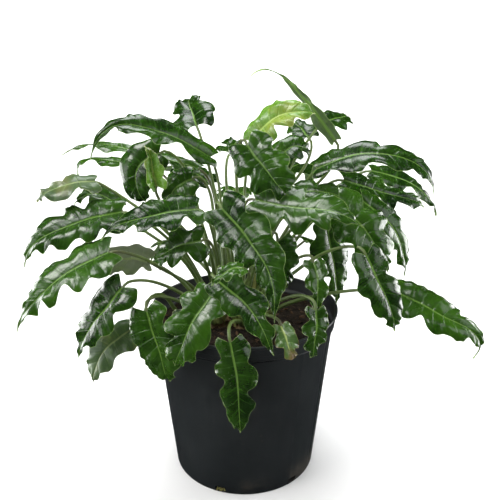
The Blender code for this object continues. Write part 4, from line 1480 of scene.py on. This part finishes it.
@dataclass(kw_only=True)
class PotPiece(Piece):
    """The moulded pot: tapered wall, shoulder band, rolled lip, mould seams, channels and drain holes."""

    name: str = "pot_moulded"
    node: str = "pot"
    slot: str = "pot_plastic"
    sharp_angle: float = 38.0
    sides: int = 288
    wall_rings: int = 15
    hub_radius: float = 0.028
    hub_rise: float = 0.0015
    edge_rounding: float = 0.0011
    channel_lip: float = 0.0052
    drain_rounding: float = 0.0012

    def _profile(self) -> list[tuple[float, float]]:
        """Draws the pot's section.

        Returns:
            (radius, height) points, from the middle below, up the outside and down to the middle within.
        """
        radius, top = POT.wall_top
        low, high = radius + POT.band_step, POT.rim_radius - POT.lip_out
        inner_lip = high - POT.wall
        outside = [(0.0, self.hub_rise), (self.hub_radius, self.hub_rise), (self.hub_radius + 0.002, 0.0)]
        outside += [(POT.outer(0), 0.0)]
        heights = np.linspace(0.012, top - 0.004, self.wall_rings)
        outside += [(POT.outer(height), height) for height in heights]
        outside += [(radius, top - 0.001), (radius - POT.groove, top), (low, top + 0.0022)]
        outside += [(low + 0.0002, top + 0.009), (low + 0.0008, top + 0.0092)]
        outside += [(high, POT.height - POT.lip_height), (POT.rim_radius, POT.height - POT.lip_height * 0.85)]
        outside += [(POT.rim_radius, POT.height)]
        inside = [(inner_lip, POT.height), (inner_lip, POT.height - 0.004)]
        inside += [(low - POT.wall, top + POT.band_step), (POT.inner(top), top), (POT.inner(0.01), POT.floor)]
        return list(rounded([*outside, *inside, (0.0, POT.floor)], self.edge_rounding))

    def _moulding(self, azimuth: float, radius: float, height: float) -> float:
        """How far the mould seams and channels push the outside of the wall.

        Args:
            azimuth: where round the wall, in degrees.
            radius: how far from the axis.
            height: how high.

        Returns:
            The push outward in metres.
        """
        _, top = POT.wall_top
        push = 0.0
        for seam in POT.seam_azimuths:
            push += POT.seam_depth * hump(math.radians(turned_from(azimuth, seam)) * radius, POT.seam_width)
        for channel in POT.channel_azimuths:
            arc = abs(math.radians(turned_from(azimuth, channel)) * radius)
            ends = smooth_step(height, 0.012, 0.02) * smooth_step(top - height, 0.004, 0.01)
            dip = -POT.channel_depth * hump(arc, POT.channel_width)
            lip = 0.45 * POT.channel_depth * hump(arc - self.channel_lip, 0.0018)
            push += (dip + lip) * ends
        return push

    def shape(self) -> BMesh:
        """Spins the section, presses in the moulding and a slight bow, and cuts the drain holes.

        Returns:
            The closed mesh.
        """
        bm = spun(self._profile(), self.sides)
        _, top = POT.wall_top
        for vert in bm.verts:
            radius = math.hypot(vert.co.x, vert.co.y)
            height = vert.co.z
            if radius < 0.08:
                continue
            azimuth = math.degrees(math.atan2(vert.co.y, vert.co.x))
            outer = radius > (POT.inner(height) + 0.0008 if height < top else POT.rim_radius - 0.006)
            push = self._moulding(azimuth, radius, height) if outer and height < top - 0.002 else 0.0
            turn = math.radians(azimuth)
            bow = 0.0004 * math.sin(2 * turn + 0.7) + 0.0003 * math.sin(5 * turn)
            push += bow * smooth_step(height, 0.02, 0.2)
            vert.co.x *= 1.0 + push / radius
            vert.co.y *= 1.0 + push / radius
        return self._drained(bm)

    def _drained(self, bm: BMesh) -> BMesh:
        """Cuts the drain holes through the bottom corner.

        Args:
            bm: the wall; it is freed.

        Returns:
            The wall with its holes.
        """
        wall = linked("wall_blank", meshed("wall_blank", bm))
        cutters = bmesh.new()
        depth = POT.corner + 4 * POT.wall
        place = Matrix.Translation((POT.outer(0) - depth * 0.35, 0, POT.floor + POT.drain_height * 0.5))
        size = Matrix.Diagonal((depth, POT.drain_width, POT.drain_height, 1.0))
        for index in range(POT.drain_holes):
            turn = math.tau * index / POT.drain_holes + math.radians(POT.drain_turn)
            bmesh.ops.create_cube(cutters, size=1.0, matrix=Matrix.Rotation(turn, 4, "Z") @ place @ size)
        bmesh.ops.bevel(cutters, geom=cutters.edges[:], offset=self.drain_rounding, segments=3,
                        affect="EDGES", profile=0.5)
        tool = linked("drain_tool", meshed("drain_tool", cutters))
        cut = wall.modifiers.new("drain", "BOOLEAN")
        cut.operation = "DIFFERENCE"
        cut.solver = "EXACT"
        cut.object = tool
        bpy.context.view_layer.update()
        made = bmesh.new()
        made.from_object(wall, bpy.context.evaluated_depsgraph_get())
        for obj in (wall, tool):
            bpy.data.objects.remove(obj, do_unlink=True)
        bmesh.ops.recalc_face_normals(made, faces=made.faces)
        return made


@dataclass(kw_only=True)
class MixPiece(Piece):
    """The potting mix, crumbly on top."""

    name: str = "mix_body"
    node: str = "soil"
    slot: str = "potting_mix"
    sharp_angle: float = 80.0
    sides: int = 168
    rings: int = 84

    def shape(self) -> BMesh:
        """Spins the mix to fit the pot, then roughens its surface.

        Returns:
            The closed mesh.
        """
        edge = POT.height - SOIL_DROP - SOIL_CROWN
        _, top = POT.wall_top
        low = POT.floor + FIT_GAP
        wall = POT.inner(top) - 2 * FIT_GAP
        profile = [(0.0, low), (POT.inner(0) - POT.corner, low)]
        profile += [(POT.inner(POT.corner) - FIT_GAP, POT.corner + 0.003), (wall, edge - 0.004)]
        profile += [(wall * share, edge) for share in np.linspace(1.0, 0.0, self.rings)]
        bm = spun(profile, self.sides)
        for vert in bm.verts:
            if vert.co.z >= edge - 1e-6:
                vert.co.z = soil_height(vert.co.x, vert.co.y)
        return bm


@dataclass(kw_only=True)
class DrainTuftPiece(Piece):
    """A tuft of fine roots and grit that has worked out of a drain hole."""

    name: str = "drain_tuft"
    node: str = "soil"
    slot: str = "potting_mix"
    azimuth: float = -109.0
    strands: int = 26
    half_spread: float = 0.0055
    seed: int = 23

    def shape(self) -> BMesh:
        """Scatters short strands that point out of the hole.

        Returns:
            The mesh of closed strands.
        """
        rng = random.Random(self.seed)
        bm = bmesh.new()
        tone = bm.verts.layers.float.new("sheath_tone")
        turn = math.radians(self.azimuth)
        out = Vector((math.cos(turn), math.sin(turn), 0))
        side = Vector((-math.sin(turn), math.cos(turn), 0))
        for _ in range(self.strands):
            length, across = rng.uniform(0.002, 0.0075), rng.uniform(-self.half_spread, self.half_spread)
            spot = out * (POT.outer(0) - 0.003) + side * across
            spot.z = rng.uniform(0.0026, 0.0062)
            way = (out + side * rng.uniform(-0.7, 0.7) + Vector((0, 0, rng.uniform(-0.25, 0.4)))).normalized()
            aim = way.to_track_quat("Z", "Y").to_matrix().to_4x4()
            size = Matrix.Diagonal((0.0009, 0.0007, length, 1.0))
            matrix = Matrix.Translation(spot + way * length * 0.5) @ aim @ size
            made = bmesh.ops.create_icosphere(bm, subdivisions=1, radius=0.6, matrix=matrix)["verts"]
            shade = rng.uniform(0.2, 0.75)
            for vert in made:
                vert.co.z = max(vert.co.z, 0.0004)
                vert[tone] = shade
        return bm


@dataclass(kw_only=True)
class BarkPiece(Piece):
    """Bark and wood chips lying on the mix."""

    name: str = "mix_bark"
    node: str = "soil"
    slot: str = "potting_mix"
    sharp_angle: float = 30.0
    chips: int = 420
    shortest: float = 0.002
    longest: float = 0.0085
    wall_gap: float = 0.006
    seed: int = 11

    def shape(self) -> BMesh:
        """Scatters tilted, uneven chips over the mix.

        Returns:
            The mesh of closed chips.
        """
        rng = random.Random(self.seed)
        bm = bmesh.new()
        tone = bm.verts.layers.float.new("chip_tone")
        room = POT.inner(POT.wall_top[1]) - self.wall_gap
        for _ in range(self.chips):
            away, turn = room * math.sqrt(rng.random()), rng.uniform(0, math.tau)
            x, y = away * math.cos(turn), away * math.sin(turn)
            length = rng.uniform(self.shortest, self.longest)
            size = (length, length * rng.uniform(0.3, 0.8), length * rng.uniform(0.15, 0.4))
            tilt = Euler((rng.uniform(-0.5, 0.5), rng.uniform(-0.5, 0.5), rng.uniform(0, math.tau)))
            place = Matrix.Translation((x, y, soil_height(x, y) + size[2] * 0.3))
            matrix = place @ tilt.to_matrix().to_4x4() @ Matrix.Diagonal((*size, 1.0))
            made = bmesh.ops.create_icosphere(bm, subdivisions=1, radius=0.62, matrix=matrix)["verts"]
            shade = rng.random() ** 2
            for vert in made:
                vert.co += Vector([rng.uniform(-0.1, 0.1) * length for _ in range(3)])
                vert[tone] = shade
        return bm


@dataclass(frozen=True)
class Sheath:
    """One papery scale on a crown: where it stands, its size in metres, and whether it is fresh."""

    turn: float
    away: float
    height: float
    half_width: float
    fresh: bool


@dataclass(kw_only=True)
class CrownPiece(Piece):
    """One crown: a ringed stub of stem wrapped in dry and fresh sheaths."""

    azimuth: float
    seed: int
    slot: str = "crown"
    sides: int = 56
    rings: int = 16
    sheaths: int = 22
    sheath_rows: int = 12
    sheath_columns: int = 6
    sheath_thickness: float = 0.0006

    TALL_SHEATH_SEED = 2
    TALL_SHEATH = Sheath(math.radians(25), CROWN.radius * 0.6, 0.098, 0.0056, True)
    STEM_TONE = 0.05

    def __post_init__(self) -> None:
        """Names the piece after its node and finds its middle."""
        self.name = self.node.replace("crown_", "stem_")
        self.centre = CROWN.centre(self.azimuth)

    def _stem(self) -> BMesh:
        """The ringed stub of stem, a little uneven.

        Returns:
            The closed mesh, with its tone set.
        """
        low = POT.height - SOIL_DROP - 0.004
        profile = [(0.0, low)]
        for index, height in enumerate(np.linspace(low, CROWN_TOP + 0.001, self.rings)):
            ring = 0.0008 * math.sin(index * 1.9)
            narrowing = 1.0 - 0.12 * index / (self.rings - 1)
            profile.append((CROWN.radius * narrowing + ring - 0.001, float(height)))
        profile += [(CROWN.radius * 0.5, CROWN_TOP + 0.0025), (0.0, CROWN_TOP + 0.003)]
        bm = spun(profile, self.sides)
        tone = bm.verts.layers.float.new("sheath_tone")
        for vert in bm.verts:
            uneven = 0.14 * noise.noise(vert.co * 160 + Vector((self.seed, 0, 0)))
            vert.co += Vector((vert.co.x, vert.co.y, 0)) * uneven
            vert.co += Vector((self.centre.x, self.centre.y, 0))
            vert[tone] = self.STEM_TONE
        return bm

    def shape(self) -> BMesh:
        """Builds the stem and stands its sheaths round it.

        Returns:
            The mesh of closed shells.
        """
        bm = self._stem()
        rng = random.Random(self.seed)
        for index in range(self.sheaths):
            turn = math.tau * (index + rng.uniform(-0.3, 0.3)) / self.sheaths
            away = CROWN.radius * rng.uniform(0.35, 1.0)
            fresh = rng.random() < 0.3
            height = rng.uniform(0.028, 0.06) if fresh else rng.uniform(0.01, 0.03)
            self._add_sheath(bm, Sheath(turn, away, height, rng.uniform(0.0028, 0.0048), fresh), rng)
        if self.seed == self.TALL_SHEATH_SEED:
            self._add_sheath(bm, self.TALL_SHEATH, rng)
        return bm

    def _add_sheath(self, bm: BMesh, sheath: Sheath, rng: random.Random) -> None:
        """Adds a pointed, cupped scale that stands from the crown and leans out a little.

        Args:
            bm: the crown's mesh so far.
            sheath: the scale.
            rng: where its chances come from.
        """
        tone = bm.verts.layers.float["sheath_tone"]
        out = Vector((math.cos(sheath.turn), math.sin(sheath.turn), 0))
        side = Vector((-out.y, out.x, 0))
        foot = Vector((self.centre.x, self.centre.y, CROWN_TOP - 0.006)) + out * sheath.away
        lean, sway = rng.uniform(0.05, 0.3), rng.uniform(-0.12, 0.12)
        made = bmesh.ops.create_grid(bm, x_segments=self.sheath_rows, y_segments=self.sheath_columns,
                                     size=0.5)["verts"]
        shade = rng.uniform(0.7, 1.0) if sheath.fresh else rng.uniform(0.0, 0.25)
        height = sheath.height
        for vert in made:
            u, v = vert.co.x + 0.5, 2.0 * vert.co.y
            wide = sheath.half_width * max(0.0, 1.0 - u ** 2.2) ** 0.7 + 0.0002
            cup = -0.55 * wide * v * v * (1.0 - 0.3 * u)
            outward = out * (lean * height * u * u + cup)
            vert.co = foot + Vector((0, 0, height * u)) + outward + side * (wide * v + sway * height * u * u)
            vert[tone] = shade
        faces = list({face for vert in made for face in vert.link_faces})
        bmesh.ops.recalc_face_normals(bm, faces=faces)
        lower = bmesh.ops.extrude_face_region(bm, geom=faces)["geom"]
        for vert in only(lower, bmesh.types.BMVert):
            vert.co -= out * self.sheath_thickness
        around = {face for item in only(lower, bmesh.types.BMFace) for vert in item.verts
                  for face in vert.link_faces}
        bmesh.ops.recalc_face_normals(bm, faces=list(around | set(faces)))


# ---------------------------------------------------------------------------------------------------
# Studio
# ---------------------------------------------------------------------------------------------------


@dataclass(frozen=True)
class Softbox:
    """A square area light.

    Attributes:
        name: the light's name.
        place: where it hangs, in metres.
        size: its side, in metres.
        power: its power, in watts.
        colour: its tint.
        aim: what it looks at.
        mirrored: whether glossy surfaces show it.
    """

    name: str
    place: Point
    size: float
    power: float
    colour: Colour = (1.0, 1.0, 1.0)
    aim: Point = (0.0, 0.0, 0.28)
    mirrored: bool = True

    def hang(self) -> None:
        """Adds the light to the scene."""
        light = bpy.data.lights.new(self.name, "AREA")
        light.shape = "SQUARE"
        light.size = self.size
        light.energy = self.power
        light.color = self.colour
        obj = linked(self.name, light)
        obj.location = self.place
        obj.rotation_euler = (Vector(self.aim) - obj.location).to_track_quat("-Z", "Y").to_euler()
        obj.visible_glossy = self.mirrored


SOFTBOXES = (
    Softbox("key_left", (-1.0, -0.7, 1.6), 0.75, 22.0, (1.0, 0.99, 0.97)),
    Softbox("overhead", (0.05, 0.45, 1.85), 0.8, 14.0, (0.97, 0.99, 1.0)),
    Softbox("fill_right", (1.3, -0.9, 1.1), 1.0, 6.0, (0.96, 0.98, 1.0)),
    Softbox("front_high", (-0.35, -1.4, 1.7), 0.6, 9.0),
    Softbox("strip_left", (-1.25, -0.75, 0.5), 0.55, 3.0),
    Softbox("edge_left", (-1.35, 0.25, 0.3), 0.9, 24.0),
    Softbox("edge_right", (1.35, 0.25, 0.3), 0.9, 24.0),
    Softbox("sweep_wash", (0.0, 0.7, 2.8), 2.0, 110.0, aim=(0.0, 2.6, 0.7), mirrored=False),
)


@dataclass(frozen=True)
class Studio:
    """Floor, world, lights and camera, in metres, degrees and millimetres of lens."""

    camera_place: Point = (0.008, -0.79, 0.585)
    camera_pitch: float = 18.9
    lens: float = 45.0
    sensor: float = 36.0
    sweep_size: float = 6.0
    sweep_start: float = 1.0
    sweep_radius: float = 1.6
    paper: Colour = (0.74, 0.74, 0.74)
    glow_start: float = 0.7
    glow_end: float = 3.0
    glow: float = 0.95

    def build(self) -> None:
        """Builds everything round the plant."""
        self._sweep()
        self._world()
        for box in SOFTBOXES:
            box.hang()
        self._camera()

    def _paper(self) -> Material:
        """Matt paper that glows more the further it is from the plant, so that every view ends pale.

        Returns:
            The material.
        """
        made = bpy.data.materials.new("studio_sweep_paper")
        made.use_nodes = True
        g = Graph(made.node_tree)
        away = g.add("VectorMath", {0: g.place()}, operation="LENGTH").outputs["Value"]
        glow = g.span(away, self.glow_start, self.glow_end, 0.0, self.glow)
        g.fill(made.node_tree.nodes["Principled BSDF"],
               {"Base_Color": self.paper, "Roughness": 0.9, "Emission_Color": (1.0, 1.0, 1.0),
                "Emission_Strength": glow})
        return made

    def _sweep(self) -> None:
        """Runs pale paper along the floor and up behind the plant."""
        bm = bmesh.new()
        bmesh.ops.create_grid(bm, x_segments=2, y_segments=80, size=self.sweep_size)
        start, radius = self.sweep_start, self.sweep_radius
        for vert in bm.verts:
            past = vert.co.y - start
            turn = min(max(past / radius, 0.0), math.pi / 2)
            if past > 0:
                vert.co.y = start + radius * math.sin(turn)
                vert.co.z = radius * (1 - math.cos(turn)) + max(past - radius * math.pi / 2, 0.0)
        mesh = meshed("studio_sweep", bm)
        mesh.shade_smooth()
        mesh.materials.append(self._paper())
        floor = linked("studio_sweep", mesh)
        floor.visible_glossy = False

    def _world(self) -> None:
        """Hangs a white world that lights and mirrors nothing, and keeps colours as they are."""
        world = bpy.data.worlds.new("studio_world")
        world.use_nodes = True
        shade = world.node_tree.nodes["Background"]
        shade.inputs["Color"].default_value = (1.0, 1.0, 1.0, 1.0)
        shade.inputs["Strength"].default_value = self.glow
        world.cycles_visibility.diffuse = False
        world.cycles_visibility.glossy = False
        bpy.context.scene.world = world
        bpy.context.scene.view_settings.view_transform = "Standard"

    def _camera(self) -> None:
        """Sets up the camera, level and a little above the plant."""
        data = bpy.data.cameras.new("studio_camera")
        data.lens = self.lens
        data.sensor_width = self.sensor
        data.dof.use_dof = False
        obj = linked("studio_camera", data)
        obj.location = self.camera_place
        obj.rotation_euler = (math.radians(90.0 - self.camera_pitch), 0.0, 0.0)
        bpy.context.scene.camera = obj


def main() -> None:
    """Builds every piece, then the studio."""
    finishes = Finishes()
    by_tone = {tone: finishes.leaf(tone) for tone in Tone}
    sheath = finishes.sheath()
    pieces: list[Piece] = [PotPiece(materials=[finishes.pot()]), MixPiece(materials=[finishes.mix()]),
                           BarkPiece(materials=[finishes.bark()]), DrainTuftPiece(materials=[sheath])]
    for seed, (node, azimuth) in enumerate(CROWN.azimuths, start=1):
        pieces.append(CrownPiece(materials=[sheath], node=node, azimuth=azimuth, seed=seed))
    for seed, (leaf, foot) in enumerate(zip(LEAVES, stalk_feet(LEAVES)), start=1):
        pieces.append(LeafPiece(materials=by_tone[leaf.tone], leaf=leaf, foot=foot, seed=seed))
    for piece in pieces:
        piece.build()
    Studio().build()
    bpy.context.view_layer.update()


if __name__ == "__main__":
    main()
